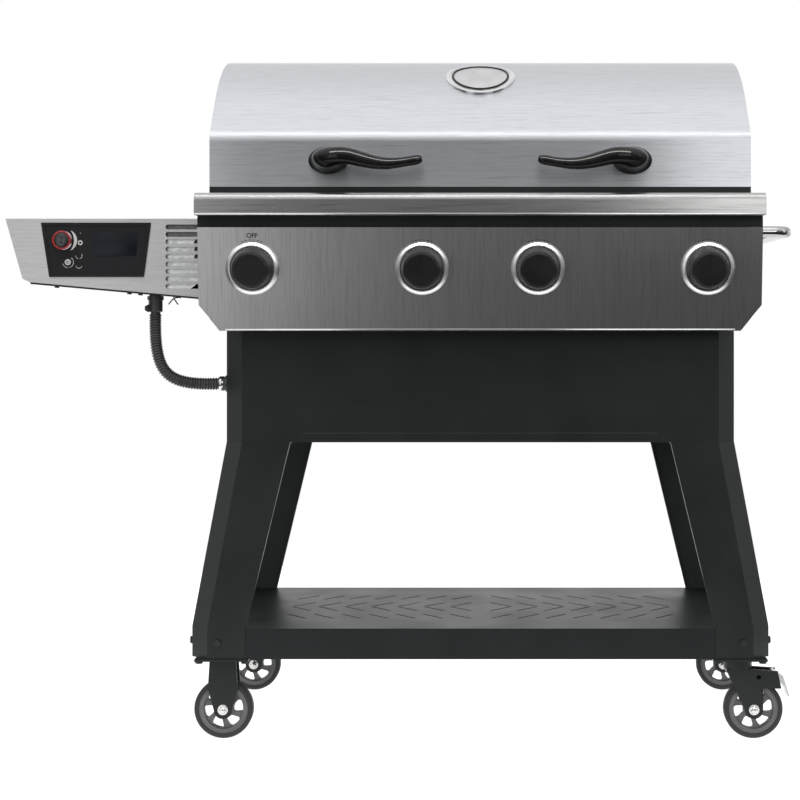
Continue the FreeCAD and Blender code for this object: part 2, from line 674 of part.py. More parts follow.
def make_brake_pedal(y):
    """Steep foot pedal beside the tyre, on the fork's pin."""
    half = WHEEL_WIDTH / 2 + FORK_SIDE_GAP - LOOSE_FIT
    barrel_radius = PEDAL_PIN_RADIUS + FORK_SHEET
    x, z = PEDAL_PIVOT_X, PEDAL_PIVOT_Z
    top = (x + PEDAL_TOP[0], z + PEDAL_TOP[1])
    toe = (x + PEDAL_TOE[0], z + PEDAL_TOE[1])
    middle = ((top[0] + toe[0]) / 2, (top[1] + toe[1]) / 2)
    length = math.hypot(toe[0] - top[0], toe[1] - top[1])
    out = ((top[1] - toe[1]) / length * FORK_SHEET, (toe[0] - top[0]) / length * FORK_SHEET)
    tread = prism_xz([top, toe, (toe[0] + out[0], toe[1] + out[1]), (top[0] + out[0], top[1] + out[1])],
                     y - PEDAL_WIDTH / 2, y + PEDAL_WIDTH / 2)
    barrel = rod((x, y - half, z), (0, 1, 0), barrel_radius, 2 * half)
    web = prism_xz([(x, z + barrel_radius), (x, z - barrel_radius), middle,
                    (middle[0] + out[0], middle[1] + out[1]), (top[0] + out[0], top[1] + out[1])],
                   y - half, y + half)
    bore = rod((x, y - half, z), (0, 1, 0), PEDAL_PIN_RADIUS + RUN_FIT, 2 * half)
    return union(barrel, web, tread).cut(bore)


def make_tyre(x, y):
    """Tyre with rounded shoulders."""
    inner = WHEEL_RADIUS - TYRE_THICKNESS
    half = WHEEL_WIDTH / 2
    shoulder = TYRE_THICKNESS / 2
    side = [(inner, half), (WHEEL_RADIUS - shoulder, half),
            (WHEEL_RADIUS - shoulder / 4, half - shoulder / 2), (WHEEL_RADIUS, half - shoulder)]
    profile = side + [(radius, -along) for radius, along in reversed(side)]
    return turned(profile, (x, y, WHEEL_RADIUS), (0, 1, 0))


def rim_window(index, low, high, half):
    """Curved window between two spokes, drawn about the wheel's axis along +Z."""
    step = 2 * math.pi / RIM_SPOKES
    swirl = step / 5
    span = step / 3

    def at(radius, angle):
        return V(radius * math.cos(angle), radius * math.sin(angle), -half)

    mid = index * step
    far = mid + swirl
    inner_arc = Part.Arc(at(low, mid - span), at(low, mid), at(low, mid + span)).toShape()
    outer_arc = Part.Arc(at(high, far + span), at(high, far), at(high, far - span)).toShape()
    first_side = Part.LineSegment(at(low, mid + span), at(high, far + span)).toShape()
    second_side = Part.LineSegment(at(high, far - span), at(low, mid - span)).toShape()
    wire = Part.Wire([inner_arc, first_side, outer_arc, second_side])
    window = Part.Face(wire).extrude(V(0, 0, 2 * half))
    corners = [edge for edge in window.Edges if abs(edge.tangentAt(edge.FirstParameter).z) > 0.99]
    return window.makeFillet(RIM_WINDOW_ROUND, corners)


def make_wheel_rim(x, y):
    """Rim ring, web with curved windows and hub, running on the axle."""
    outer = WHEEL_RADIUS - TYRE_THICKNESS - RUN_FIT
    ring = outer - TYRE_THICKNESS
    half = WHEEL_WIDTH / 2 - SHEET
    web = half / 2
    hub_half = WHEEL_WIDTH / 2 + FORK_SIDE_GAP - LOOSE_FIT
    bore = AXLE_RADIUS + RUN_FIT
    side = [(bore, hub_half), (RIM_HUB_RADIUS, hub_half), (RIM_HUB_RADIUS, web),
            (ring, web), (ring, half), (outer, half)]
    profile = side + [(radius, -along) for radius, along in reversed(side)]
    rim = turned(profile, (0, 0, 0), (0, 0, 1))
    windows = [rim_window(k, RIM_HUB_RADIUS + 2 * SHEET, ring - SHEET / 2, half) for k in range(RIM_SPOKES)]
    rim = rim.cut(windows)
    rim.rotate(V(0, 0, 0), V(1, 0, 0), 90)
    return rim.translated(V(x, y, WHEEL_RADIUS))


def make_cart_screws():
    """Hexagon heads at the feet, under the caster plates and under the hopper."""
    heads = []
    foot_x = FOOT_OUTER - LEG_FOOT_WIDTH / 2
    foot_y = CART_HALF_DEPTH - LEG_DEPTH / 2
    z = FOOT_BOTTOM + FOOT_SCREW_RISE
    for sx in (-1, 1):
        for sy in (-1, 1):
            heads.append(hex_head((sx * foot_x, sy * CART_HALF_DEPTH, z), (0, sy, 0)))
            heads.append(hex_head((sx * FOOT_OUTER, sy * foot_y, z), (sx, 0, 0)))
            caster_x = SWIVEL_X if sx > 0 else FIXED_CASTER_X
            for bx in (-1, 1):
                for by in (-1, 1):
                    x = caster_x + bx * CASTER_BOLT_SPREAD_X
                    y = sy * WHEEL_Y + by * CASTER_BOLT_SPREAD_Y
                    heads.append(hex_head((x, y, PLATE_BOTTOM), (0, 0, -1)))
    return group(heads + hopper_screws())


def firebox_shell():
    """Walls and floor of the firebox, with cut lower corners and the tub's well in the floor."""
    knee = APRON_TOP + FIREBOX_CHAMFER_RISE
    outline = [(-FIREBOX_FOOT, APRON_TOP), (FIREBOX_FOOT, APRON_TOP), (FIREBOX_HALF_WIDTH, knee),
               (FIREBOX_HALF_WIDTH, RIM_Z), (-FIREBOX_HALF_WIDTH, RIM_Z), (-FIREBOX_HALF_WIDTH, knee)]
    inside = inset(outline, [SHEET, SHEET, SHEET, -SHEET, SHEET, SHEET])
    back = FIREBOX_HALF_DEPTH
    walls = prism_xz(outline, -back, back).cut(prism_xz(inside, SHEET - back, back - SHEET))
    well = rectangle(TUB_HALF_WIDTH + PASS_GAP, TUB_HALF_DEPTH + PASS_GAP)
    return walls.cut(prism_xy(well, APRON_TOP, APRON_TOP + SHEET))


def front_rail():
    """Folded strip that closes the gap between the front ledge and the control panel."""
    low = PANEL_TOP + LOOSE_FIT
    high = LEDGE_BOTTOM - LOOSE_FIT
    front = PANEL_FRONT + SHEET
    face = box(-PANEL_HALF_WIDTH, PANEL_HALF_WIDTH, front, front + SHEET, low, high)
    fold = box(-PANEL_HALF_WIDTH, PANEL_HALF_WIDTH, front, SHEET - FIREBOX_HALF_DEPTH, high - SHEET, high)
    return face.fuse(fold)


def make_firebox():
    """Black box of the cooking chamber: shell, front rail, rim, grate ledges and deflector rails."""
    outer = rectangle(FIREBOX_HALF_WIDTH, FIREBOX_HALF_DEPTH)
    mouth = prism_xy(inset(outer, RIM_FLANGE), RIM_Z - SHEET, RIM_Z)
    rim = prism_xy(inset(outer, SHEET), RIM_Z - SHEET, RIM_Z).cut(mouth)
    ledge_z = GRATE_TOP - GRATE_THICKNESS
    back = FIREBOX_HALF_DEPTH - SHEET
    ledges = [box(-FIREBOX_INNER, FIREBOX_INNER, y0, y1, ledge_z - SHEET, ledge_z)
              for y0, y1 in ((-back, -back + GRATE_LEDGE), (back - GRATE_LEDGE, back))]
    rails = [on_panel(box(x0, x1, DEFLECTOR_FRONT, DEFLECTOR_FRONT + DEFLECTOR_LENGTH,
                          -SHEET / 2 - DEFLECTOR_RAIL, -SHEET / 2))
             for x0, x1 in ((-FIREBOX_INNER, -FIREBOX_INNER + DEFLECTOR_RAIL),
                            (FIREBOX_INNER - DEFLECTOR_RAIL, FIREBOX_INNER))]
    shell = union(firebox_shell(), front_rail(), rim, *ledges, *rails)
    holes = [on_panel(rod((x, 0, 0), (0, 1, 0), SHAFT_RADIUS + PASS_GAP, DEFLECTOR_FRONT))
             for x in DAMPER_X.values()]
    holes.append(along_auger(rod((0, 0, 0), (1, 0, 0), AUGER_TUBE_RADIUS + LOOSE_FIT, auger_length())))
    holes.append(fan_outlet(FAN_DUCT / 2 - SHEET, HOPPER_RIGHT - SHEET, HOPPER_RIGHT + 2 * SHEET))
    return shell.cut(holes)


def ledge_profile(reach, low, high, nose):
    """Side view of the front ledge, with a rounded nose at the top."""
    back = -FIREBOX_HALF_DEPTH
    corners = [V(0, back, low), V(0, back, high), V(0, back - reach, high), V(0, back - reach, low)]
    return Part.Face(rounded_wire(corners, [0, 0, nose, SHEET]))


def make_front_ledge():
    """Hollow stainless ledge along the front of the firebox, open at its back."""
    outer = ledge_profile(LEDGE_REACH, LEDGE_BOTTOM, LEDGE_TOP, LEDGE_NOSE)
    outer = outer.extrude(V(2 * LEDGE_HALF_WIDTH, 0, 0)).translated(V(-LEDGE_HALF_WIDTH, 0, 0))
    inner_half = LEDGE_HALF_WIDTH - SHEET
    inner = ledge_profile(LEDGE_REACH - SHEET, LEDGE_BOTTOM + SHEET, LEDGE_TOP - SHEET, LEDGE_NOSE - SHEET)
    inner = inner.extrude(V(2 * inner_half, 0, 0)).translated(V(-inner_half, 0, 0))
    return outer.cut(inner)


def panel_block(wall, back):
    """Solid inside of the control panel, moved in by a wall: a tilted front between cut lower corners."""
    slant = wall / math.cos(math.radians(PANEL_TILT))
    top = PANEL_TOP - wall
    low = APRON_TOP + wall
    front_top = PANEL_FRONT + wall * TILT_TAN + slant
    front_low = PANEL_FRONT + (PANEL_TOP - low) * TILT_TAN + slant
    side = prism_yz([(front_top, top), (front_low, low), (back, low), (back, top)],
                    -PANEL_HALF_WIDTH, PANEL_HALF_WIDTH)
    outline = [
        (-PANEL_HALF_WIDTH + PANEL_CHAMFER_RUN, APRON_TOP), (PANEL_HALF_WIDTH - PANEL_CHAMFER_RUN, APRON_TOP),
        (PANEL_HALF_WIDTH, APRON_TOP + PANEL_CHAMFER_RISE), (PANEL_HALF_WIDTH, PANEL_TOP),
        (-PANEL_HALF_WIDTH, PANEL_TOP), (-PANEL_HALF_WIDTH, APRON_TOP + PANEL_CHAMFER_RISE),
    ]
    return side.common(prism_xz(inset(outline, wall), PANEL_FRONT, back))


def make_control_panel():
    """Stainless tray in front of the firebox, open at its back, with the four shaft holes."""
    back = -FIREBOX_HALF_DEPTH
    shell = panel_block(0.0, back).cut(panel_block(SHEET, back + SHEET))
    holes = [on_panel(rod((x, -SHEET, 0), (0, 1, 0), SHAFT_RADIUS + RUN_FIT, 4 * SHEET))
             for x in knob_columns()]
    return shell.cut(holes)


def knob_columns():
    return [-KNOB_OUTER_X] + list(DAMPER_X.values())


def make_knob_bezels():
    """Chrome dishes behind the knobs, with a rounded ring."""
    bore = SHAFT_RADIUS + PASS_GAP
    ring = KNOB_RADIUS + SHEET
    shoulder = BEZEL_THICKNESS - SHEET
    dish = BEZEL_THICKNESS - 1.5 * SHEET
    profile = [(bore, 0), (BEZEL_RADIUS, 0), (BEZEL_RADIUS, SHEET), (BEZEL_RADIUS - SHEET, shoulder),
               (ring + SHEET, BEZEL_THICKNESS), (ring, BEZEL_THICKNESS), (ring - SHEET, dish), (bore, dish)]
    return group([on_panel(turned(profile, (x, 0, 0), (0, -1, 0))) for x in knob_columns()])


def knob_cap(x, bore_depth):
    """Tapered knob with a bevelled front, a pointer groove and a blind bore for its shaft."""
    base = BEZEL_THICKNESS + LOOSE_FIT
    tip = base + KNOB_LENGTH
    bevel = KNOB_LENGTH / 8
    profile = [(0, base), (KNOB_RADIUS - bevel / 2, base), (KNOB_RADIUS, base + bevel / 2),
               (KNOB_FRONT_RADIUS, tip - bevel), (KNOB_FRONT_RADIUS - bevel, tip), (0, tip)]
    cap = turned(profile, (x, 0, 0), (0, -1, 0))
    groove = box(x - SHEET / 2, x + SHEET / 2, -tip, -tip + SHEET / 2,
                 KNOB_FRONT_RADIUS / 2, KNOB_FRONT_RADIUS)
    bore = rod((x, -base - bore_depth, 0), (0, 1, 0), SHAFT_RADIUS + RUN_FIT, bore_depth)
    return cap.cut(groove).cut(bore) if bore_depth else cap.cut(groove)


def make_mode_knob():
    """Left knob, in one piece with the short shaft that turns the mode switch."""
    cap = knob_cap(-KNOB_OUTER_X, 0)
    base = BEZEL_THICKNESS + LOOSE_FIT
    stem_length = base + 2 * SHEET + SWITCH_DEPTH / 2
    stem = rod((-KNOB_OUTER_X, -base - SHEET, 0), (0, 1, 0), SHAFT_RADIUS, stem_length)
    return on_panel(union(cap, stem))


def make_mode_switch():
    """Rotary switch behind the panel, on the mode knob's shaft."""
    body = box(-KNOB_OUTER_X - SWITCH_HALF, -KNOB_OUTER_X + SWITCH_HALF, SHEET, SHEET + SWITCH_DEPTH,
               -SWITCH_HALF, SWITCH_HALF)
    bore = rod((-KNOB_OUTER_X, SHEET, 0), (0, 1, 0), SHAFT_RADIUS + RUN_FIT, SWITCH_DEPTH)
    return on_panel(body.cut(bore))


def make_damper_knob(x):
    return on_panel(knob_cap(x, KNOB_LENGTH / 2))


def make_damper_vane(x):
    """Shaft from the knob to the rear bearing, with the flat vane that covers a deflector opening."""
    start = -BEZEL_THICKNESS - LOOSE_FIT - KNOB_LENGTH / 2 + SHEET / 4
    end = VANE_START + VANE_LENGTH + VANE_GAP + BEARING_LENGTH
    shaft = rod((x, start, 0), (0, 1, 0), SHAFT_RADIUS, end - start)
    vane = box(x - VANE_HALF_WIDTH, x + VANE_HALF_WIDTH, VANE_START, VANE_START + VANE_LENGTH,
               -SHEET / 2, SHEET / 2)
    return on_panel(union(shaft, vane))


def make_heat_deflector():
    """Sloping sheet on the side rails, with an opening for each vane and a bearing behind it."""
    half = FIREBOX_INNER - LOOSE_FIT
    end = DEFLECTOR_FRONT + DEFLECTOR_LENGTH
    sheet = box(-half, half, DEFLECTOR_FRONT, end, -SHEET / 2, SHEET / 2)
    bearings = []
    for x in DAMPER_X.values():
        opening_end = VANE_START + VANE_LENGTH + VANE_GAP
        side = VANE_HALF_WIDTH + VANE_GAP
        opening = box(x - side, x + side, VANE_START - VANE_GAP, opening_end, -SHEET, SHEET)
        slit = box(x - SHAFT_RADIUS - LOOSE_FIT, x + SHAFT_RADIUS + LOOSE_FIT, DEFLECTOR_FRONT, VANE_START,
                   -SHEET, SHEET)
        sheet = sheet.cut(opening).cut(slit)
        block = 2 * SHAFT_RADIUS
        bearings.append(box(x - block, x + block, opening_end, opening_end + BEARING_LENGTH, -block, block))
    deflector = union(sheet, *bearings)
    bores = [rod((x, VANE_START + VANE_LENGTH, 0), (0, 1, 0), SHAFT_RADIUS + RUN_FIT, 2 * BEARING_LENGTH)
             for x in DAMPER_X.values()]
    return on_panel(deflector.cut(bores))


def make_lower_tub():
    """Pan under the fire, hung by its flange, with a drain and the grease tray's runners below it."""
    outer = rectangle(TUB_HALF_WIDTH, TUB_HALF_DEPTH)
    top = APRON_TOP + SHEET
    pan = prism_xy(outer, TUB_FLOOR, top).cut(prism_xy(inset(outer, SHEET), TUB_FLOOR + SHEET, top))
    brim = prism_xy(inset(outer, -TUB_FLANGE), top, top + SHEET).cut(
        prism_xy(inset(outer, SHEET), top, top + SHEET))
    seat_z = TRAY_TOP - SHEET
    runners = []
    for side in (-1, 1):
        inner = TRAY_HALF_WIDTH + PASS_GAP
        hanger = TRAY_HALF_WIDTH + TRAY_FLANGE + PASS_GAP
        x0, x1 = sorted([side * inner, side * (hanger + SHEET)])
        h0, h1 = sorted([side * hanger, side * (hanger + SHEET)])
        runners.append(box(x0, x1, TRAY_FRONT, TUB_HALF_DEPTH, seat_z - SHEET, seat_z))
        runners.append(box(h0, h1, TRAY_FRONT, TUB_HALF_DEPTH, seat_z - SHEET, TUB_FLOOR + SHEET))
    drain = rod((0, DRAIN_Y, TUB_FLOOR), (0, 0, 1), DRAIN_RADIUS, SHEET)
    return union(pan, brim, *runners).cut(drain)


def make_grease_tray():
    """Drawer under the tub, pulled out at the back of the cart."""
    low = TRAY_TOP - TRAY_DEPTH
    back = CART_HALF_DEPTH
    outer = [(-TRAY_HALF_WIDTH, TRAY_FRONT), (TRAY_HALF_WIDTH, TRAY_FRONT),
             (TRAY_HALF_WIDTH, back), (-TRAY_HALF_WIDTH, back)]
    pan = prism_xy(outer, low, TRAY_TOP).cut(prism_xy(inset(outer, SHEET), low + SHEET, TRAY_TOP))
    edge = TRAY_HALF_WIDTH + TRAY_FLANGE
    hangers = [box(x0, x1, TRAY_FRONT, back, TRAY_TOP - SHEET, TRAY_TOP)
               for x0, x1 in ((-edge, -TRAY_HALF_WIDTH), (TRAY_HALF_WIDTH, edge))]
    cover_half = edge + 2 * PASS_GAP + SHEET
    lap = SHEET + PASS_GAP
    cover = box(-cover_half, cover_half, back, back + SHEET, low - lap, TRAY_TOP + lap)
    pull_z = TRAY_TOP - TRAY_DEPTH / 2
    pull_half = TRAY_HALF_WIDTH / 2
    root = back + SHEET
    grip = root + TRAY_HANDLE_REACH
    pull = bent_rod([(-pull_half, root, pull_z), (-pull_half, grip, pull_z),
                     (pull_half, grip, pull_z), (pull_half, root, pull_z)],
                    TRAY_HANDLE_REACH / 2, SHAFT_RADIUS)
    return union(pan, cover, pull, *hangers)


def make_fire_pot():
    """Burn cup on the tub's floor, with the auger's mouth, the igniter's hole and air holes."""
    floor = TUB_FLOOR + SHEET
    cup = rod((0, AUGER_Y, floor), (0, 0, 1), POT_RADIUS, POT_HEIGHT)
    hollow = rod((0, AUGER_Y, floor + POT_WALL), (0, 0, 1), POT_RADIUS - POT_WALL, POT_HEIGHT)
    mouth_length = auger_length() + POT_RADIUS / 2
    mouth = along_auger(rod((0, 0, 0), (1, 0, 0), AUGER_TUBE_RADIUS + LOOSE_FIT, mouth_length))
    igniter = rod((0, AUGER_Y, floor + IGNITER_RISE), (1, 0, 0), IGNITER_RADIUS + RUN_FIT, 2 * POT_RADIUS)
    return cup.cut([hollow, mouth, igniter])


def make_igniter():
    """Hot rod through the pot's wall, with a collar that stops on the wall."""
    z = TUB_FLOOR + SHEET + IGNITER_RISE
    rod_end = POT_RADIUS - 2 * IGNITER_RADIUS
    hot_rod = rod((rod_end, AUGER_Y, z), (1, 0, 0), IGNITER_RADIUS, IGNITER_LENGTH)
    collar = rod((POT_RADIUS, AUGER_Y, z), (1, 0, 0), 2 * IGNITER_RADIUS, 2 * POT_WALL)
    return union(hot_rod, collar)


def make_cooking_grates():
    """Two cast grates side by side on the firebox ledges."""
    half_depth = FIREBOX_HALF_DEPTH - SHEET - PASS_GAP
    right = FIREBOX_INNER - PASS_GAP
    z = GRATE_TOP - GRATE_THICKNESS
    pitch = GRATE_BAR + GRATE_SLOT
    count = int((right - PASS_GAP - GRATE_BAR) / pitch)
    edge = (right + PASS_GAP - count * pitch + GRATE_BAR) / 2
    border = GRATE_LEDGE + GRATE_BAR
    run = (2 * (half_depth - border) + GRATE_BAR) / GRATE_CROSS_BARS
    wires = [[(PASS_GAP, -half_depth), (right, -half_depth), (right, half_depth), (PASS_GAP, half_depth)]]
    for k in range(count):
        for row in range(GRATE_CROSS_BARS):
            x = edge + k * pitch
            y = -half_depth + border + row * run
            far = y + run - GRATE_BAR
            wires.append([(x, y), (x + GRATE_SLOT, y), (x + GRATE_SLOT, far), (x, far)])
    grate = holed_face([level_loop(points, z) for points in wires]).extrude(V(0, 0, GRATE_THICKNESS))
    return group([grate, mirror_x(grate)])


def lid_profile(wall):
    """Side view of the lid, moved in by a wall: upright front, slope, barrel top and the same behind."""
    slope = math.radians(LID_SLOPE)
    half = FIREBOX_HALF_DEPTH - wall
    apex = LID_CREASE_Z + FIREBOX_HALF_DEPTH * math.tan(slope) - wall / math.cos(slope)
    crease = apex - half * math.tan(slope)
    corners = [V(0, -half, RIM_Z), V(0, -half, crease), V(0, 0, apex), V(0, half, crease), V(0, half, RIM_Z)]
    radii = [0, LID_CREASE_RADIUS - wall, LID_ARC_RADIUS - wall, LID_CREASE_RADIUS - wall, 0]
    return Part.Face(rounded_wire(corners, radii))


def lid_arc_centre_z():
    slope = math.radians(LID_SLOPE)
    apex = LID_CREASE_Z + FIREBOX_HALF_DEPTH * math.tan(slope)
    return apex - LID_ARC_RADIUS / math.cos(slope)


def make_lid_shell():
    """Barrel lid of sheet with closed ends, standing on the firebox rim."""
    inner_half = LID_HALF_WIDTH - SHEET
    outer = lid_profile(0.0).extrude(V(2 * LID_HALF_WIDTH, 0, 0)).translated(V(-LID_HALF_WIDTH, 0, 0))
    inner = lid_profile(SHEET).extrude(V(2 * inner_half, 0, 0)).translated(V(-inner_half, 0, 0))
    return outer.cut(inner)


def make_lid_badge():
    """Plain round plate with a raised rim, bent to the lid's barrel."""
    lean = math.radians(BADGE_LEAN)
    axis = V(0, -math.sin(lean), math.cos(lean))
    centre = V(0, 0, lid_arc_centre_z())

    def layer(radius, low, high):
        base = centre + axis * (LID_ARC_RADIUS - BADGE_RADIUS)
        disc = Part.makeCylinder(radius, 2 * BADGE_RADIUS, base, axis)
        barrel_start = V(-LID_HALF_WIDTH, 0, lid_arc_centre_z())
        skin = Part.makeCylinder(LID_ARC_RADIUS + high, 2 * LID_HALF_WIDTH, barrel_start, V(1, 0, 0))
        core = Part.makeCylinder(LID_ARC_RADIUS + low, 2 * LID_HALF_WIDTH, barrel_start, V(1, 0, 0))
        return disc.common(skin.cut(core))

    plate = layer(BADGE_RADIUS, RUN_FIT, BADGE_THICKNESS)
    dish = layer(BADGE_RADIUS - BADGE_RIM, BADGE_THICKNESS - SHEET / 2, BADGE_THICKNESS + SHEET)
    return plate.cut(dish)


def make_left_horn():
    """Horn-shaped handle: a collar on the lid's front, an elbow, and a tapering arm towards the middle."""
    face = -FIREBOX_HALF_DEPTH
    rings = []
    for along, out, rise, half_width, half_height, direction in HORN_STATIONS:
        centre = V(-HORN_X, face, HORN_Z) + V(along, out, rise) * HORN_LENGTH
        side = V(0, 0, 1).cross(V(*direction)).normalize()
        up = V(*direction).normalize().cross(side)
        far_side = centre + side * half_width * HORN_LENGTH
        top = centre + up * half_height * HORN_LENGTH
        ring = Part.Ellipse(far_side, top, centre)
        rings.append(Part.Wire(ring.toShape()))
    return Part.makeLoft(rings, True, False)


def make_horn_handles():
    horn = make_left_horn()
    return group([horn, mirror_x(horn)])


def hinge_knuckle(x0, x1):
    return rod((x0, HINGE_Y, HINGE_Z), (1, 0, 0), HINGE_KNUCKLE_RADIUS, x1 - x0)


def make_lid_hinges():
    """Fixed hinge leaves on the firebox's back, each with two knuckles and the pin through them."""
    solids = []
    for middle in (-HINGE_X, HINGE_X):
        half = HINGE_KNUCKLE_LENGTH / 2
        near = half + LOOSE_FIT
        far = near + HINGE_KNUCKLE_LENGTH
        top = HINGE_Z - HINGE_KNUCKLE_RADIUS
        leaf = box(middle - far, middle + far, FIREBOX_HALF_DEPTH, FIREBOX_HALF_DEPTH + SHEET,
                   top - HINGE_LEAF_HEIGHT, top)
        pieces = [rod((middle - far, HINGE_Y, HINGE_Z), (1, 0, 0), HINGE_PIN_RADIUS, 2 * far)]
        for x0, x1 in ((middle - far, middle - near), (middle + near, middle + far)):
            pieces.append(hinge_knuckle(x0, x1))
            pieces.append(box(x0, x1, FIREBOX_HALF_DEPTH, HINGE_Y + SHEET, top - SHEET, top + SHEET))
        solids.append(union(leaf, *pieces))
    return group(solids)


def make_lid_hinge_leaves():
    """Hinge leaves on the lid's back, each with one knuckle round the pin."""
    solids = []
    for middle in (-HINGE_X, HINGE_X):
        half = HINGE_KNUCKLE_LENGTH / 2
        low = HINGE_Z + HINGE_KNUCKLE_RADIUS
        leaf = box(middle - half, middle + half, FIREBOX_HALF_DEPTH, FIREBOX_HALF_DEPTH + SHEET,
                   low - SHEET, low + HINGE_LEAF_HEIGHT)
        bridge = box(middle - half, middle + half, FIREBOX_HALF_DEPTH, HINGE_Y, low - SHEET, low)
        leaf = union(leaf, bridge, hinge_knuckle(middle - half, middle + half))
        pin_hole = rod((middle - half, HINGE_Y, HINGE_Z), (1, 0, 0), HINGE_PIN_RADIUS + RUN_FIT, 2 * half)
        solids.append(leaf.cut(pin_hole))
    return group(solids)


def make_side_handle():
    """Round bar on the right wall, with a flange at each end."""
    x0 = FIREBOX_HALF_WIDTH
    x1 = x0 + HANDLE_REACH
    bar = bent_rod([(x0, -HANDLE_HALF_LENGTH, HANDLE_Z), (x1, -HANDLE_HALF_LENGTH, HANDLE_Z),
                    (x1, HANDLE_HALF_LENGTH, HANDLE_Z), (x0, HANDLE_HALF_LENGTH, HANDLE_Z)],
                   HANDLE_BEND, HANDLE_RADIUS)
    flanges = [rod((x0, y, HANDLE_Z), (1, 0, 0), HANDLE_FLANGE, 2 * SHEET)
               for y in (-HANDLE_HALF_LENGTH, HANDLE_HALF_LENGTH)]
    return union(bar, *flanges)


def hopper_outline():
    """Front view of the hopper, counter-clockwise from its low left corner."""
    return [HOPPER_LOW_LEFT, (HOPPER_RIGHT, HOPPER_LOW_RIGHT_Z), (HOPPER_RIGHT, HOPPER_TOP),
            (HOPPER_LEFT, HOPPER_TOP), HOPPER_TIP]


def hopper_slope():
    """Rise of the hopper's bottom edge for each millimetre to the left."""
    return (HOPPER_LOW_LEFT[1] - HOPPER_LOW_RIGHT_Z) / (HOPPER_RIGHT - HOPPER_LOW_LEFT[0])


def hopper_bottom_z(x):
    return HOPPER_LOW_RIGHT_Z + (HOPPER_RIGHT - x) * hopper_slope()


def hopper_screws():
    """Heads under the bottom plate, along its front edge."""
    slope = hopper_slope()
    length = math.hypot(slope, 1)
    down = (-slope / length, 0, -1 / length)
    left = HOPPER_LOW_LEFT[0]
    heads = []
    for share in HOPPER_SCREW_SHARES:
        x = left + share * (HOPPER_RIGHT - left)
        y = HOPPER_FRONT + 4 * HOPPER_SCREW_RADIUS
        spot = (x + down[0] * BOTTOM_PLATE, y, hopper_bottom_z(x) + down[2] * BOTTOM_PLATE)
        heads.append(hex_head(spot, down, HOPPER_SCREW_RADIUS, HOPPER_SCREW_HEIGHT))
    return heads


def louvre(index):
    """One slot of the hopper's front, with a round left end."""
    z1 = LOUVRE_TOP_Z - index * LOUVRE_PITCH
    z0 = z1 - LOUVRE_HEIGHT
    radius = LOUVRE_HEIGHT / 2
    y = HOPPER_FRONT - SHEET
    slot = box(LOUVRE_LEFT + radius, LOUVRE_RIGHT, y, y + 3 * SHEET, z0, z1)
    return slot.fuse(rod((LOUVRE_LEFT + radius, y, z0 + radius), (0, 1, 0), radius, 3 * SHEET))


def controller_outline():
    left_top, right_top, top = CONTROLLER_TOP_EDGE
    left_low, right_low, low = CONTROLLER_LOW_EDGE
    spots = [(left_low, low), (right_low, low), (right_top, top), (left_top, top)]
    return [beside_firebox(spot) for spot in spots]


def bin_mouth(wall):
    """Corners of the bin's top, moved in by a wall."""
    return [(BIN_LEFT + wall, BIN_FRONT + wall), (BIN_RIGHT - wall, BIN_FRONT + wall),
            (BIN_RIGHT - wall, BIN_BACK - wall), (BIN_LEFT + wall, BIN_BACK - wall)]


def hopper_knuckles():
    """Bounds along X of the hopper hinge: housing, lid and housing knuckle."""
    third = (BIN_RIGHT - BIN_LEFT) / 5
    first, second = BIN_LEFT + third, BIN_RIGHT - third
    return [(BIN_LEFT, first), (first + LOOSE_FIT, second - LOOSE_FIT), (second, BIN_RIGHT)]


def make_hopper_housing():
    """Stainless hopper casing with louvres, the controller's cut-out, the bin's mouth and its hinge."""
    outline = hopper_outline()
    shell = prism_xz(outline, HOPPER_FRONT, HOPPER_BACK)
    hollow = inset(outline, [-4 * SHEET, SHEET, 2 * SHEET, SHEET, SHEET])
    shell = shell.cut(prism_xz(hollow, HOPPER_FRONT + SHEET, HOPPER_BACK - SHEET))
    lid_room = box(HOPPER_LEFT - SHEET, HOPPER_RIGHT + SHEET, HOPPER_FRONT + SHEET, HOPPER_BACK + SHEET,
                   HOPPER_TOP - SHEET, HOPPER_TOP + SHEET)
    cut_out = inset(controller_outline(), CONTROLLER_FRAME + SHEET - LOOSE_FIT)
    cuts = [lid_room, prism_xz(cut_out, HOPPER_FRONT - SHEET, HOPPER_FRONT + 2 * SHEET),
            prism_xy(bin_mouth(SHEET), HOPPER_COVER_Z, HOPPER_TOP),
            along_auger(rod((0, 0, 0), (1, 0, 0), AUGER_TUBE_RADIUS + LOOSE_FIT, auger_length())),
            fan_outlet(FAN_DUCT / 2 - SHEET, HOPPER_RIGHT - 2 * SHEET, HOPPER_RIGHT + SHEET)]
    cuts += [louvre(k) for k in range(LOUVRE_COUNT)]
    shell = shell.cut(cuts)
    left, _, right = hopper_knuckles()
    hinge = [rod((BIN_LEFT, HOPPER_HINGE_Y, HOPPER_TOP), (1, 0, 0), HOPPER_HINGE_PIN, BIN_RIGHT - BIN_LEFT)]
    for x0, x1 in (left, right):
        hinge.append(rod((x0, HOPPER_HINGE_Y, HOPPER_TOP), (1, 0, 0), HOPPER_HINGE_RADIUS, x1 - x0))
        hinge.append(box(x0, x1, HOPPER_BACK - SHEET, HOPPER_HINGE_Y,
                         HOPPER_COVER_Z - SHEET, HOPPER_TOP - SHEET))
    return union(shell, *hinge)


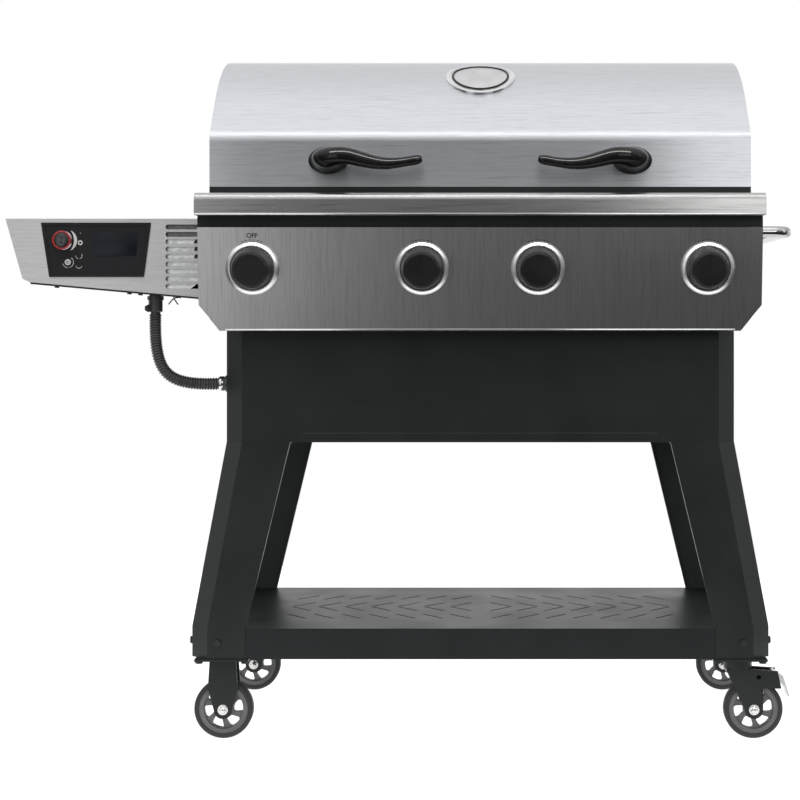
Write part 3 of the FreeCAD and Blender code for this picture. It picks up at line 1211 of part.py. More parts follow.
def make_hopper_lid():
    """Flat lid over the whole hopper, with its knuckle at the back."""
    x0, x1 = HOPPER_LEFT + PASS_GAP, HOPPER_RIGHT - PASS_GAP
    plate = box(x0, x1, HOPPER_FRONT + SHEET + LOOSE_FIT, HOPPER_BACK, HOPPER_TOP - SHEET, HOPPER_TOP)
    k0, k1 = hopper_knuckles()[1]
    bridge = box(k0, k1, HOPPER_BACK - SHEET, HOPPER_HINGE_Y, HOPPER_TOP - SHEET, HOPPER_TOP)
    knuckle = rod((k0, HOPPER_HINGE_Y, HOPPER_TOP), (1, 0, 0), HOPPER_HINGE_RADIUS, k1 - k0)
    bore = rod((k0, HOPPER_HINGE_Y, HOPPER_TOP), (1, 0, 0), HOPPER_HINGE_PIN + RUN_FIT, k1 - k0)
    return union(plate, bridge, knuckle).cut(bore)


def make_hopper_bottom():
    """Black plate under the hopper, with the gland's hole."""
    low_left, right = HOPPER_LOW_LEFT[0], HOPPER_RIGHT - PASS_GAP
    slope = hopper_slope()
    drop = BOTTOM_PLATE * math.hypot(slope, 1)
    points = [(low_left, hopper_bottom_z(low_left) - drop), (right, hopper_bottom_z(right) - drop),
              (right, hopper_bottom_z(right)), (low_left, hopper_bottom_z(low_left))]
    plate = prism_xz(points, HOPPER_FRONT + PASS_GAP, HOPPER_BACK - PASS_GAP)
    hole = rod((HOSE_X, HOSE_Y, HOSE_TOP), (0, 0, 1), HOSE_RADIUS + LOOSE_FIT, 4 * GLAND_LENGTH)
    return plate.cut(hole)


def make_hopper_bin():
    """Funnel under the hopper's mouth, with a neck that saddles the auger tube."""
    neck_low = AUGER_START_Z - (BIN_NECK_RIGHT - AUGER_START_X) * math.tan(math.radians(AUGER_TILT))

    def block(wall):
        neck = [(BIN_NECK_LEFT + wall, AUGER_Y - BIN_NECK_HALF + wall),
                (BIN_NECK_RIGHT - wall, AUGER_Y - BIN_NECK_HALF + wall),
                (BIN_NECK_RIGHT - wall, AUGER_Y + BIN_NECK_HALF - wall),
                (BIN_NECK_LEFT + wall, AUGER_Y + BIN_NECK_HALF - wall)]
        rings = [level_loop(bin_mouth(wall), HOPPER_COVER_Z), level_loop(neck, BIN_NECK_Z)]
        return Part.makeLoft(rings, True, True).fuse(prism_xy(neck, neck_low, BIN_NECK_Z))

    tube = along_auger(rod((0, 0, 0), (1, 0, 0), AUGER_TUBE_RADIUS + LOOSE_FIT, auger_length()))
    return block(0.0).cut(block(SHEET)).cut(tube)


def auger_length():
    """Length of the auger tube along its slope, from the motor to just inside the fire pot."""
    end_x = -(POT_RADIUS - POT_WALL - SHEET)
    return (end_x - AUGER_START_X) / math.cos(math.radians(AUGER_TILT))


def make_auger_tube():
    """Tube from the bin to the fire pot, open on top under the bin's neck."""
    length = auger_length()
    tube = rod((0, 0, 0), (1, 0, 0), AUGER_TUBE_RADIUS, length)
    bore = rod((0, 0, 0), (1, 0, 0), AUGER_TUBE_RADIUS - SHEET, length)
    half = BIN_NECK_HALF - SHEET
    window = box(BIN_NECK_LEFT - AUGER_START_X + SHEET, BIN_NECK_RIGHT - AUGER_START_X - SHEET, -half, half,
                 0, 2 * AUGER_TUBE_RADIUS)
    return along_auger(tube.cut(bore).cut(window))


def make_auger():
    """Screw in the tube, with its shaft in the motor."""
    length = auger_length()
    core = rod((-MOTOR_LENGTH / 2, 0, 0), (1, 0, 0), AUGER_CORE, MOTOR_LENGTH / 2 + length - 2 * SHEET)
    turns_length = length - 4 * AUGER_CORE
    spine = Part.Wire(Part.makeHelix(AUGER_PITCH, turns_length, AUGER_CORE))
    root = AUGER_CORE - SHEET
    half = AUGER_FLIGHT / 2
    corners = [V(root, 0, -half), V(AUGER_RADIUS, 0, -half), V(AUGER_RADIUS, 0, half), V(root, 0, half)]
    flight = spine.makePipeShell([Part.makePolygon(corners + corners[:1])], True, True)
    flight.rotate(V(0, 0, 0), V(0, 1, 0), 90)
    return along_auger(core.fuse(flight.translated(V(2 * AUGER_CORE, 0, 0))))


def make_auger_motor():
    """Gear motor on the end of the auger tube."""
    side = AUGER_TUBE_RADIUS + SHEET
    body = box(-MOTOR_LENGTH, 0, -side, side, -side + 2 * SHEET, side)
    bore = rod((0, 0, 0), (-1, 0, 0), AUGER_CORE + RUN_FIT, MOTOR_LENGTH / 2 + PASS_GAP)
    return along_auger(body.cut(bore))


def fan_outlet(half, x0, x1):
    return box(x0, x1, FAN_Y - half, FAN_Y + half, FAN_Z - half, FAN_Z + half)


def fan_right():
    """Right face of the fan's drum, left of its duct."""
    return HOPPER_RIGHT - SHEET - FAN_DUCT


def make_fan_housing():
    """Drum behind the louvres with a bearing on arms at its open side and a duct to the firebox."""
    right = fan_right()
    left = right - FAN_WIDTH
    hub = 3 * FAN_SHAFT
    drum = rod((left, FAN_Y, FAN_Z), (1, 0, 0), FAN_RADIUS, FAN_WIDTH)
    drum = drum.cut(rod((left, FAN_Y, FAN_Z), (1, 0, 0), FAN_RADIUS - SHEET, FAN_WIDTH - SHEET))
    boss = rod((left, FAN_Y, FAN_Z), (1, 0, 0), hub, 4 * SHEET)
    arms = []
    for k in range(FAN_ARMS):
        arm = box(left, left + 2 * SHEET, FAN_Y - SHEET, FAN_Y + SHEET, FAN_Z, FAN_Z + FAN_RADIUS - SHEET / 2)
        arm.rotate(V(left, FAN_Y, FAN_Z), V(1, 0, 0), 360 * k / FAN_ARMS)
        arms.append(arm)
    duct = fan_outlet(FAN_DUCT / 2, right, HOPPER_RIGHT - SHEET)
    body = union(drum, boss, duct, *arms)
    bore = rod((left, FAN_Y, FAN_Z), (1, 0, 0), FAN_SHAFT + RUN_FIT, 4 * SHEET)
    return body.cut(bore).cut(fan_outlet(FAN_DUCT / 2 - SHEET, right - SHEET, HOPPER_RIGHT))


def make_fan_impeller():
    """Bladed wheel on a short shaft in the drum's bearing."""
    left = fan_right() - FAN_WIDTH
    hub_left = left + 4 * SHEET + LOOSE_FIT
    hub_length = FAN_WIDTH / 2
    shaft = rod((left + SHEET, FAN_Y, FAN_Z), (1, 0, 0), FAN_SHAFT, hub_left - left)
    hub = rod((hub_left, FAN_Y, FAN_Z), (1, 0, 0), 3 * FAN_SHAFT, hub_length)
    blades = []
    for k in range(FAN_BLADES):
        blade = box(hub_left, hub_left + hub_length, FAN_Y - SHEET / 2, FAN_Y + SHEET / 2,
                    FAN_Z, FAN_Z + FAN_RADIUS - 3 * SHEET)
        blade.rotate(V(left, FAN_Y, FAN_Z), V(1, 0, 0), 360 * k / FAN_BLADES)
        blades.append(blade)
    return union(shaft, hub, *blades)


def make_controller():
    """Black control head: a framed face in front, a body behind it, and bores for the dial and buttons."""
    outline = controller_outline()
    frame = prism_xz(outline, HOPPER_FRONT - CONTROLLER_PROUD, HOPPER_FRONT)
    recess = prism_xz(inset(outline, CONTROLLER_FRAME), HOPPER_FRONT - CONTROLLER_PROUD, CONTROLLER_FACE_Y)
    body = prism_xz(inset(outline, CONTROLLER_FRAME + SHEET), HOPPER_FRONT, HOPPER_FRONT + CONTROLLER_BODY)
    depth = BUTTON_LENGTH - BUTTON_PROUD + 2 * BUTTON_TRAVEL
    bores = [rod((DIAL_CENTRE[0], CONTROLLER_FACE_Y, DIAL_CENTRE[1]), (0, 1, 0), DIAL_SHAFT + RUN_FIT,
                 DIAL_LENGTH + PASS_GAP)]
    for (x, z), radius in button_places():
        bores.append(rod((x, CONTROLLER_FACE_Y, z), (0, 1, 0), radius + SLIDE_FIT, depth))
    return union(frame.cut(recess), body).cut(bores)


def button_places():
    return [(POWER_CENTRE, POWER_RADIUS), (MENU_UPPER_CENTRE, MENU_RADIUS), (MENU_LOWER_CENTRE, MENU_RADIUS)]


def make_controller_dial():
    """Dial with a flat base ring and a tapered grip, on a shaft in the controller."""
    grip = DIAL_RADIUS - SHEET
    profile = [(0, -DIAL_LENGTH), (DIAL_SHAFT, -DIAL_LENGTH), (DIAL_SHAFT, LOOSE_FIT),
               (DIAL_RADIUS, LOOSE_FIT), (DIAL_RADIUS, SHEET), (grip, 2 * SHEET),
               (grip - SHEET / 2, DIAL_LENGTH - SHEET / 2), (grip - SHEET, DIAL_LENGTH), (0, DIAL_LENGTH)]
    return turned(profile, (DIAL_CENTRE[0], CONTROLLER_FACE_Y, DIAL_CENTRE[1]), (0, -1, 0))


def make_button(place):
    """Round push button with a bevelled edge."""
    (x, z), radius = place
    inside = BUTTON_PROUD - BUTTON_LENGTH
    bevel = BUTTON_PROUD / 4
    profile = [(0, inside), (radius, inside), (radius, BUTTON_PROUD - bevel), (radius - bevel, BUTTON_PROUD),
               (0, BUTTON_PROUD)]
    return turned(profile, (x, CONTROLLER_FACE_Y, z), (0, -1, 0))


def make_power_inlet():
    """Mains inlet on the hopper's back, with its socket recess and three blades."""
    middle = (BIN_LEFT + BIN_RIGHT) / 2

    def block(margin, depth):
        half_width = INLET_HALF_WIDTH + margin
        half_height = INLET_HALF_HEIGHT + margin / 2
        return box(middle - half_width, middle + half_width, HOPPER_BACK, HOPPER_BACK + depth,
                   FAN_Z - half_height, FAN_Z + half_height)

    socket = block(-INLET_WALL, INLET_DEPTH).translated(V(0, SHEET, 0))
    blades = []
    for k in (-1, 0, 1):
        x = middle + k * INLET_BLADE_PITCH
        blades.append(box(x - SHEET / 2, x + SHEET / 2, HOPPER_BACK, HOPPER_BACK + INLET_DEPTH - 2 * SHEET,
                          FAN_Z - INLET_WALL, FAN_Z + INLET_WALL))
    shell = union(block(INLET_EAR, SHEET), block(0.0, INLET_DEPTH)).cut(socket)
    return union(shell, *blades)


def make_hose_fittings():
    """Gland under the hopper and wall fitting on the apron, both with the hose's bore."""
    plate_low = hopper_bottom_z(HOSE_X + FITTING_FLANGE) - 2 * BOTTOM_PLATE
    collar = FITTING_LENGTH * 0.4
    gland = union(rod((HOSE_X, HOSE_Y, HOSE_TOP), (0, 0, 1), FITTING_NUT, plate_low - HOSE_TOP),
                  rod((HOSE_X, HOSE_Y, plate_low - collar), (0, 0, 1), FITTING_FLANGE,
                      collar + BOTTOM_PLATE - LOOSE_FIT),
                  rod((HOSE_X, HOSE_Y, plate_low), (0, 0, 1), HOSE_RADIUS, GLAND_LENGTH))
    gland = gland.cut(rod((HOSE_X, HOSE_Y, HOSE_TOP), (0, 0, 1), HOSE_BORE, 4 * GLAND_LENGTH))
    wall = -CART_HALF_WIDTH
    fitting = union(rod((wall - FITTING_LENGTH, HOSE_Y, HOSE_LOW), (1, 0, 0), FITTING_NUT, FITTING_LENGTH),
                    rod((wall - collar, HOSE_Y, HOSE_LOW), (1, 0, 0), FITTING_FLANGE, collar))
    bore = rod((wall - FITTING_LENGTH, HOSE_Y, HOSE_LOW), (1, 0, 0), HOSE_BORE, FITTING_LENGTH)
    return group([gland, fitting.cut(bore)])


def hose_route():
    """Corner points of the hose: down from the gland, one bend, and across to the apron."""
    end_x = -CART_HALF_WIDTH - FITTING_LENGTH
    return [V(HOSE_X, HOSE_Y, HOSE_TOP), V(HOSE_X, HOSE_Y, HOSE_LOW), V(end_x, HOSE_Y, HOSE_LOW)]


def hose_station(distance):
    """Centre and direction of the hose at a distance from its top."""
    top, corner = hose_route()[:2]
    drop = top.z - corner.z - HOSE_BEND
    arc = HOSE_BEND * math.pi / 2
    if distance <= drop:
        return V(top.x, top.y, top.z - distance), V(0, 0, -1)
    if distance <= drop + arc:
        angle = (distance - drop) / HOSE_BEND
        centre = V(corner.x + HOSE_BEND * (1 - math.cos(angle)), corner.y,
                   corner.z + HOSE_BEND * (1 - math.sin(angle)))
        return centre, V(math.sin(angle), 0, -math.cos(angle))
    return V(corner.x + HOSE_BEND + distance - drop - arc, corner.y, corner.z), V(1, 0, 0)


def hose_length():
    top, corner, end = hose_route()
    return (top.z - corner.z - HOSE_BEND) + HOSE_BEND * math.pi / 2 + (end.x - corner.x - HOSE_BEND)


def make_ribbed_hose():
    """Corrugated hose with its bore; its ends are plain for half a diameter."""
    length = hose_length()
    plain = HOSE_RADIUS
    ribs = int((length - 2 * plain) / RIB_PITCH)
    first = (length - ribs * RIB_PITCH) / 2
    stations = [(0.0, HOSE_VALLEY)]
    for k in range(ribs):
        start = first + k * RIB_PITCH
        stations += [(start + RIB_PITCH * share, radius) for share, radius in
                     ((0.1, HOSE_VALLEY), (0.3, HOSE_RADIUS), (0.7, HOSE_RADIUS), (0.9, HOSE_VALLEY))]
    stations.append((length, HOSE_VALLEY))
    rings = []
    for distance, radius in stations:
        centre, direction = hose_station(distance)
        ring = Part.Circle(centre, direction, radius)
        ring.XAxis = V(0, 1, 0)
        rings.append(Part.Wire(ring.toShape()))
    skin = Part.makeLoft(rings, True, True)
    bore = bent_rod(hose_route(), HOSE_BEND, HOSE_BORE)
    hose = skin.cut(bore)
    plain_volume = math.pi * (HOSE_RADIUS ** 2 - HOSE_BORE ** 2) * length
    print("hose: bend radius", HOSE_BEND, "length", round(length, 1), "ribs", ribs)
    print("hose: volume", round(hose.Volume), "of a plain tube's", round(plain_volume))
    return hose


def wheel_places():
    return {"front_left": (FIXED_CASTER_X, -WHEEL_Y), "rear_left": (FIXED_CASTER_X, WHEEL_Y),
            "front_right": (SWIVEL_AXLE_X, -WHEEL_Y), "rear_right": (SWIVEL_AXLE_X, WHEEL_Y)}


def make_nodes():
    """Every piece by its node's name, about the cart's centre."""
    nodes = {
        "apron": make_apron(),
        "front_legs": make_front_legs(),
        "rear_legs": make_rear_legs(),
        "bottom_shelf": make_bottom_shelf(),
        "cart_screws": make_cart_screws(),
        "fixed_forks": make_fixed_forks(),
        "swivel_plates": make_swivel_plates(),
        "firebox": make_firebox(),
        "front_ledge": make_front_ledge(),
        "control_panel": make_control_panel(),
        "knob_bezels": make_knob_bezels(),
        "mode_knob": make_mode_knob(),
        "mode_switch": make_mode_switch(),
        "heat_deflector": make_heat_deflector(),
        "lower_tub": make_lower_tub(),
        "grease_tray": make_grease_tray(),
        "fire_pot": make_fire_pot(),
        "igniter": make_igniter(),
        "cooking_grates": make_cooking_grates(),
        "lid_shell": make_lid_shell(),
        "lid_badge": make_lid_badge(),
        "horn_handles": make_horn_handles(),
        "lid_hinges": make_lid_hinges(),
        "lid_hinge_leaves": make_lid_hinge_leaves(),
        "side_handle": make_side_handle(),
        "hopper_housing": make_hopper_housing(),
        "hopper_lid": make_hopper_lid(),
        "hopper_bottom": make_hopper_bottom(),
        "hopper_bin": make_hopper_bin(),
        "auger_tube": make_auger_tube(),
        "auger": make_auger(),
        "auger_motor": make_auger_motor(),
        "fan_housing": make_fan_housing(),
        "fan_impeller": make_fan_impeller(),
        "controller": make_controller(),
        "controller_dial": make_controller_dial(),
        "power_inlet": make_power_inlet(),
        "hose_fittings": make_hose_fittings(),
        "ribbed_hose": make_ribbed_hose(),
    }
    for name, x in DAMPER_X.items():
        nodes["damper_knob_" + name] = make_damper_knob(x)
        nodes["damper_vane_" + name] = make_damper_vane(x)
    for name, place in zip(("power_button", "menu_button_upper", "menu_button_lower"), button_places()):
        nodes[name] = make_button(place)
    for name, (x, y) in wheel_places().items():
        nodes["tyre_" + name] = make_tyre(x, y)
        nodes["wheel_rim_" + name] = make_wheel_rim(x, y)
    for name, y in (("front", -WHEEL_Y), ("rear", WHEEL_Y)):
        nodes["swivel_fork_" + name] = make_swivel_fork(y)
        nodes["brake_pedal_" + name] = make_brake_pedal(y)
    return nodes


def origin():
    """Point on the floor under the middle of the whole grill's box."""
    left, right = HOPPER_LEFT, FIREBOX_HALF_WIDTH + HANDLE_REACH + HANDLE_RADIUS
    front, back = -FIREBOX_HALF_DEPTH - LEDGE_REACH, HINGE_Y + HINGE_KNUCKLE_RADIUS
    return V((left + right) / 2, (front + back) / 2, 0)


def main():
    os.makedirs("parts", exist_ok=True)
    shift = origin().negative()
    for name, shape in make_nodes().items():
        shape.translated(shift).exportStep("parts/" + name + ".step")


if __name__ == "__main__":
    main()
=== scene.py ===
"""Looks of the pellet grill: finishes for its solids, printed marks, control head, hose and small hardware.

Metres, in the solids' own frame: X to the right, Y to the back, Z up from the floor.
"""
import json
import math

import bmesh
import bpy
from bpy.props import FloatProperty, FloatVectorProperty, IntProperty, PointerProperty
from mathutils import Matrix, Vector

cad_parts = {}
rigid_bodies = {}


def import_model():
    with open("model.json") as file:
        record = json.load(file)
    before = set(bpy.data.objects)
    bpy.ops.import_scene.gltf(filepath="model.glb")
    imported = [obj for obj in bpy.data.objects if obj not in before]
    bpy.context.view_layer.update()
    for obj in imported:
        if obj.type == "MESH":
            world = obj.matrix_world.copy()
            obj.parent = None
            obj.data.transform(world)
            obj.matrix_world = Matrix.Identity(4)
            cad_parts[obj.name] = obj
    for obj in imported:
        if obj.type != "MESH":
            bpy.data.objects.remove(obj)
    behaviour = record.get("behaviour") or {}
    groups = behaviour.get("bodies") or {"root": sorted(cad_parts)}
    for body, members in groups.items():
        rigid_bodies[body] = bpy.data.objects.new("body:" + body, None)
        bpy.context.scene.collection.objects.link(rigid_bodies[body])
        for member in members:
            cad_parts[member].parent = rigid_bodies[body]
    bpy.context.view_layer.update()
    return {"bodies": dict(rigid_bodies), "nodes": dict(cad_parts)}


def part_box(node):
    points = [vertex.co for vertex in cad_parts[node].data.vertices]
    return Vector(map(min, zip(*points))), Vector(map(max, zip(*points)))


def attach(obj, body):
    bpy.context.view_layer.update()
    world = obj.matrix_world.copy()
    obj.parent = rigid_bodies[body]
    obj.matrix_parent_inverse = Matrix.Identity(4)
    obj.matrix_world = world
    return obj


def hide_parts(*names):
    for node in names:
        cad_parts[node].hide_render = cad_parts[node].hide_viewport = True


bl_info = {
    "name": "Pellet grill dressing",
    "version": (1, 0, 0),
    "blender": (4, 5, 0),
    "location": "View3D > Sidebar > Grill",
    "description": "Finishes and small pieces of a pellet grill on a cart",
    "category": "Object",
}

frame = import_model()
APRON_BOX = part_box("apron")
CART_X = (APRON_BOX[0][0] + APRON_BOX[1][0]) / 2
CART_Y = (APRON_BOX[0][1] + APRON_BOX[1][1]) / 2
FRONT = (0.0, -1.0, 0.0)


def spot(x, y, z):
    """Point of the frame from a place about the cart's centre."""
    return (CART_X + x, CART_Y + y, z)


def colour(name, description, default):
    """Colour that a user may change."""
    return FloatVectorProperty(name=name, description=description, default=default, subtype="COLOR",
                               size=3, min=0.0, max=1.0)


def length(name, description, default):
    """Length that a user may change."""
    return FloatProperty(name=name, description=description, default=default, unit="LENGTH")


class GrillColours(bpy.types.PropertyGroup):
    """Colours of the finishes and the print."""
    steel_light: colour("Steel, light", "Light streaks of the brushed steel", (0.605, 0.609, 0.617))
    steel_dark: colour("Steel, dark", "Dark streaks of the brushed steel", (0.490, 0.493, 0.500))
    cart_black: colour("Cart", "Powder coat of the cart and firebox", (0.0128, 0.0152, 0.0152))
    gloss_black: colour("Horns", "Lacquer of the horn handles", (0.004, 0.004, 0.004))
    knob_black: colour("Knobs", "Moulded knobs", (0.009, 0.009, 0.010))
    rim_grey: colour("Wheel rims", "Moulded wheel rims", (0.095, 0.095, 0.098))
    rubber: colour("Tyres", "Rubber of the tyres", (0.014, 0.014, 0.015))
    hose_black: colour("Hose", "Corrugated hose", (0.055, 0.055, 0.058))
    print_dark: colour("Dark print", "Marks printed on the steel", (0.02, 0.02, 0.02))
    print_white: colour("White print", "Marks printed on the control head", (0.80, 0.80, 0.78))
    ring_red: colour("Dial ring", "Ring round the dial", (0.36, 0.015, 0.015))
    display: colour("Display", "Glass of the display", (0.006, 0.008, 0.012))


class GrillSizes(bpy.types.PropertyGroup):
    """Sizes of the hose, the print and the edges, and the place of the camera."""
    hose_radius: length("Hose radius", "Over the ribs", 0.0107)
    hose_valley: length("Hose valley", "Radius between the ribs", 0.0086)
    rib_pitch: length("Rib pitch", "Distance from rib to rib", 0.0046)
    hose_sides: IntProperty(name="Hose sides", description="Points round the hose", default=28, min=8)
    mark_height: length("Mark height", "Height of the word above the left knob", 0.0085)
    edge: length("Edge", "Rounding of folded sheet edges", 0.0009)
    camera_distance: length("Camera distance", "From the origin to the camera, along Y", 3.471)
    camera_height: length("Camera height", "Above the floor", 0.713)


def colours():
    """Colours that the panel shows."""
    return bpy.context.scene.grill_colours


def sizes():
    """Sizes that the panel shows."""
    return bpy.context.scene.grill_sizes


def start_finish(name):
    """New node material, its tree and its surface shader."""
    finish = bpy.data.materials.new(name)
    finish.use_nodes = True
    return finish, finish.node_tree, finish.node_tree.nodes["Principled BSDF"]


def put(tree, kind, **inputs):
    """Add a shader node, and set or link its sockets by name."""
    node = tree.nodes.new("ShaderNode" + kind)
    for key, value in inputs.items():
        socket = node.inputs[key.replace("_", " ")]
        if isinstance(value, bpy.types.NodeSocket):
            tree.links.new(value, socket)
        else:
            socket.default_value = value
    return node


def grain(tree, scale, detail):
    """Noise over the piece's own coordinates, stretched by one scale for each axis."""
    place = put(tree, "TexCoord").outputs["Object"]
    spread = put(tree, "Mapping", Vector=place, Scale=scale).outputs["Vector"]
    return put(tree, "TexNoise", Vector=spread, Scale=1.0, Detail=detail).outputs["Fac"]


def even_grain(tree, scale, detail):
    """Noise with the same scale along every axis."""
    return grain(tree, (scale, scale, scale), detail)


def between(tree, value, low, high, start=0.3, end=0.7):
    """Map a pattern's value to a range."""
    node = put(tree, "MapRange", Value=value, From_Min=start, From_Max=end, To_Min=low, To_Max=high)
    return node.outputs["Result"]


def tint(tree, value, first, second, start=0.35, end=0.65):
    """Blend two colours by a pattern's value."""
    ramp = put(tree, "ValToRGB", Fac=value)
    for stop, position, shade in zip(ramp.color_ramp.elements, (start, end), (first, second)):
        stop.position = position
        stop.color = (*shade, 1.0)
    return ramp.outputs["Color"]


def dress(tree, bsdf, shade, roughness):
    """Give a surface shader its colour and its roughness."""
    tree.links.new(shade, bsdf.inputs["Base Color"])
    tree.links.new(roughness, bsdf.inputs["Roughness"])


def rough_up(tree, bsdf, height, strength, depth):
    """Relief of a surface from a pattern."""
    bump = put(tree, "Bump", Height=height, Strength=strength, Distance=depth)
    tree.links.new(bump.outputs["Normal"], bsdf.inputs["Normal"])


def draw_out(tree, bsdf, axis):
    """Draw highlights out round an axis through the middle of the piece."""
    around = put(tree, "Tangent")
    around.direction_type = "RADIAL"
    around.axis = axis
    tree.links.new(around.outputs["Tangent"], bsdf.inputs["Tangent"])


def sets(bsdf, **values):
    """Set plain values on a surface shader."""
    for key, value in values.items():
        bsdf.inputs[key.replace("_", " ")].default_value = value


def scaled(shade, factor):
    """Colour made lighter or darker."""
    return tuple(min(1.0, part * factor) for part in shade)


STREAKS_ACROSS = 460.0
STREAKS_ALONG = 9.0
HAIRS_ACROSS = 1100.0
HAIRS_ALONG = 24.0
BLOTCH_SCALE = 2.5
QUARTER_TURN = 0.25


def stretched(across, lengthwise, axes):
    """One scale for each axis, for a grain that runs along the named axes."""
    return [lengthwise if axis in axes else across for axis in "xyz"]


def brushed_steel(name, axes, shine, level, smear=0.7, fineness=1.5):
    """Brushed sheet folded along X: grain along the named axes, and highlights drawn out across it."""
    finish, tree, bsdf = start_finish(name)
    bands = grain(tree, stretched(STREAKS_ACROSS * fineness, STREAKS_ALONG * fineness, axes), 2.0)
    hairs = grain(tree, stretched(HAIRS_ACROSS * fineness, HAIRS_ALONG * fineness, axes), 2.0)
    blotch = even_grain(tree, BLOTCH_SCALE, 1.0)
    mixed = put(tree, "Math", Value=bands)
    tree.links.new(hairs, mixed.inputs[1])
    light = [shade * share for shade, share in zip(colours().steel_light, level)]
    dark = [shade * share for shade, share in zip(colours().steel_dark, level)]
    streaks = tint(tree, mixed.outputs["Value"], dark, light, 0.75, 1.0)
    dress(tree, bsdf, streaks, between(tree, blotch, *shine, 0.0, 1.0))
    turn = 0.0 if axes == "x" else QUARTER_TURN
    sets(bsdf, Metallic=1.0, Anisotropic=smear, Anisotropic_Rotation=turn)
    draw_out(tree, bsdf, "X")
    rough_up(tree, bsdf, bands, strength=0.02, depth=0.0001)
    return finish


def powder_coat(name, shade, gloss=(0.36, 0.48), level=0.27):
    """Satin powder coat with a fine orange peel and a little dust in the paint."""
    finish, tree, bsdf = start_finish(name)
    peel = even_grain(tree, scale=900.0, detail=2.0)
    cloud = even_grain(tree, scale=9.0, detail=3.0)
    dress(tree, bsdf, tint(tree, cloud, shade, scaled(shade, 1.2)), between(tree, cloud, *gloss))
    sets(bsdf, Specular_IOR_Level=level)
    rough_up(tree, bsdf, peel, strength=0.06, depth=0.0003)
    return finish


def lacquer(name, shade):
    """Deep gloss lacquer with faint polishing marks."""
    finish, tree, bsdf = start_finish(name)
    polish = even_grain(tree, scale=60.0, detail=4.0)
    dress(tree, bsdf, tint(tree, polish, shade, scaled(shade, 2.0)), between(tree, polish, 0.05, 0.08))
    sets(bsdf, Specular_IOR_Level=0.2)
    rough_up(tree, bsdf, polish, strength=0.02, depth=0.0005)
    return finish


def polished_metal(name, shade, shine=(0.06, 0.13)):
    """Plated or polished metal with finger smudges."""
    finish, tree, bsdf = start_finish(name)
    smudge = even_grain(tree, scale=35.0, detail=4.0)
    scratch = grain(tree, (1200.0, 60.0, 1200.0), 2.0)
    dress(tree, bsdf, tint(tree, smudge, scaled(shade, 0.88), shade), between(tree, smudge, *shine))
    sets(bsdf, Metallic=1.0)
    rough_up(tree, bsdf, scratch, strength=0.03, depth=0.0001)
    return finish


def moulded(name, shade, gloss=(0.38, 0.5), level=0.5):
    """Moulded plastic with a fine spark texture."""
    finish, tree, bsdf = start_finish(name)
    spark = even_grain(tree, scale=1400.0, detail=1.0)
    cloud = even_grain(tree, scale=25.0, detail=3.0)
    dress(tree, bsdf, tint(tree, cloud, shade, scaled(shade, 1.35)), between(tree, cloud, *gloss))
    sets(bsdf, Specular_IOR_Level=level)
    rough_up(tree, bsdf, spark, strength=0.08, depth=0.0003)
    return finish


def rubber(name, shade):
    """Tyre rubber, matt and porous, with dust on it."""
    finish, tree, bsdf = start_finish(name)
    dust = even_grain(tree, scale=70.0, detail=5.0)
    pores = even_grain(tree, scale=1600.0, detail=2.0)
    dress(tree, bsdf, tint(tree, dust, shade, scaled(shade, 2.2), 0.4, 0.8), between(tree, dust, 0.55, 0.75))
    rough_up(tree, bsdf, pores, strength=0.15, depth=0.0004)
    return finish


def galvanised(name, level=1.0):
    """Zinc coat with its spangle."""
    finish, tree, bsdf = start_finish(name)
    place = put(tree, "TexCoord").outputs["Object"]
    cells = put(tree, "TexVoronoi", Vector=place, Scale=90.0)
    frost = even_grain(tree, scale=500.0, detail=3.0)
    dull = scaled((0.42, 0.43, 0.44), level)
    bright = scaled((0.62, 0.63, 0.64), level)
    spangle = tint(tree, cells.outputs["Distance"], dull, bright, 0.1, 0.8)
    dress(tree, bsdf, spangle, between(tree, frost, 0.30, 0.48))
    sets(bsdf, Metallic=1.0)
    rough_up(tree, bsdf, frost, strength=0.05, depth=0.0003)
    return finish


def cast_iron(name):
    """Seasoned cast iron: dark, grainy and a little oily."""
    finish, tree, bsdf = start_finish(name)
    pits = even_grain(tree, scale=420.0, detail=5.0)
    oil = even_grain(tree, scale=12.0, detail=3.0)
    dark = tint(tree, oil, (0.016, 0.015, 0.014), (0.035, 0.032, 0.030))
    dress(tree, bsdf, dark, between(tree, oil, 0.42, 0.72))
    rough_up(tree, bsdf, pits, strength=0.35, depth=0.0008)
    return finish


def printed(name, shade):
    """Screen-printed ink with a slightly uneven film."""
    finish, tree, bsdf = start_finish(name)
    film = even_grain(tree, scale=900.0, detail=2.0)
    dress(tree, bsdf, tint(tree, film, scaled(shade, 0.85), shade), between(tree, film, 0.42, 0.58))
    return finish


def dark_glass(name, shade):
    """Satin cover over a dark display, with a faint bluish cloud under it."""
    finish, tree, bsdf = start_finish(name)
    cloud = grain(tree, (14.0, 14.0, 30.0), 2.0)
    dress(tree, bsdf, tint(tree, cloud, shade, scaled(shade, 2.6)), between(tree, cloud, 0.30, 0.40))
    sets(bsdf, Specular_IOR_Level=0.2)
    return finish


def spun_metal(name, centre):
    """Face turned on a lathe: fine rings round a centre, about an axis along Y."""
    finish, tree, bsdf = start_finish(name)
    place = put(tree, "TexCoord").outputs["Object"]
    centred = put(tree, "Mapping", Vector=place, Location=(-centre[0], 0.0, -centre[2])).outputs["Vector"]
    rings = put(tree, "TexWave", Vector=centred, Scale=900.0, Distortion=0.3)
    rings.wave_type = "RINGS"
    rings.rings_direction = "Y"
    shade = tint(tree, rings.outputs["Fac"], (0.05, 0.05, 0.052), (0.11, 0.11, 0.112))
    dress(tree, bsdf, shade, between(tree, rings.outputs["Fac"], 0.24, 0.34))
    sets(bsdf, Metallic=1.0, Anisotropic=0.85)
    draw_out(tree, bsdf, "Y")
    return finish


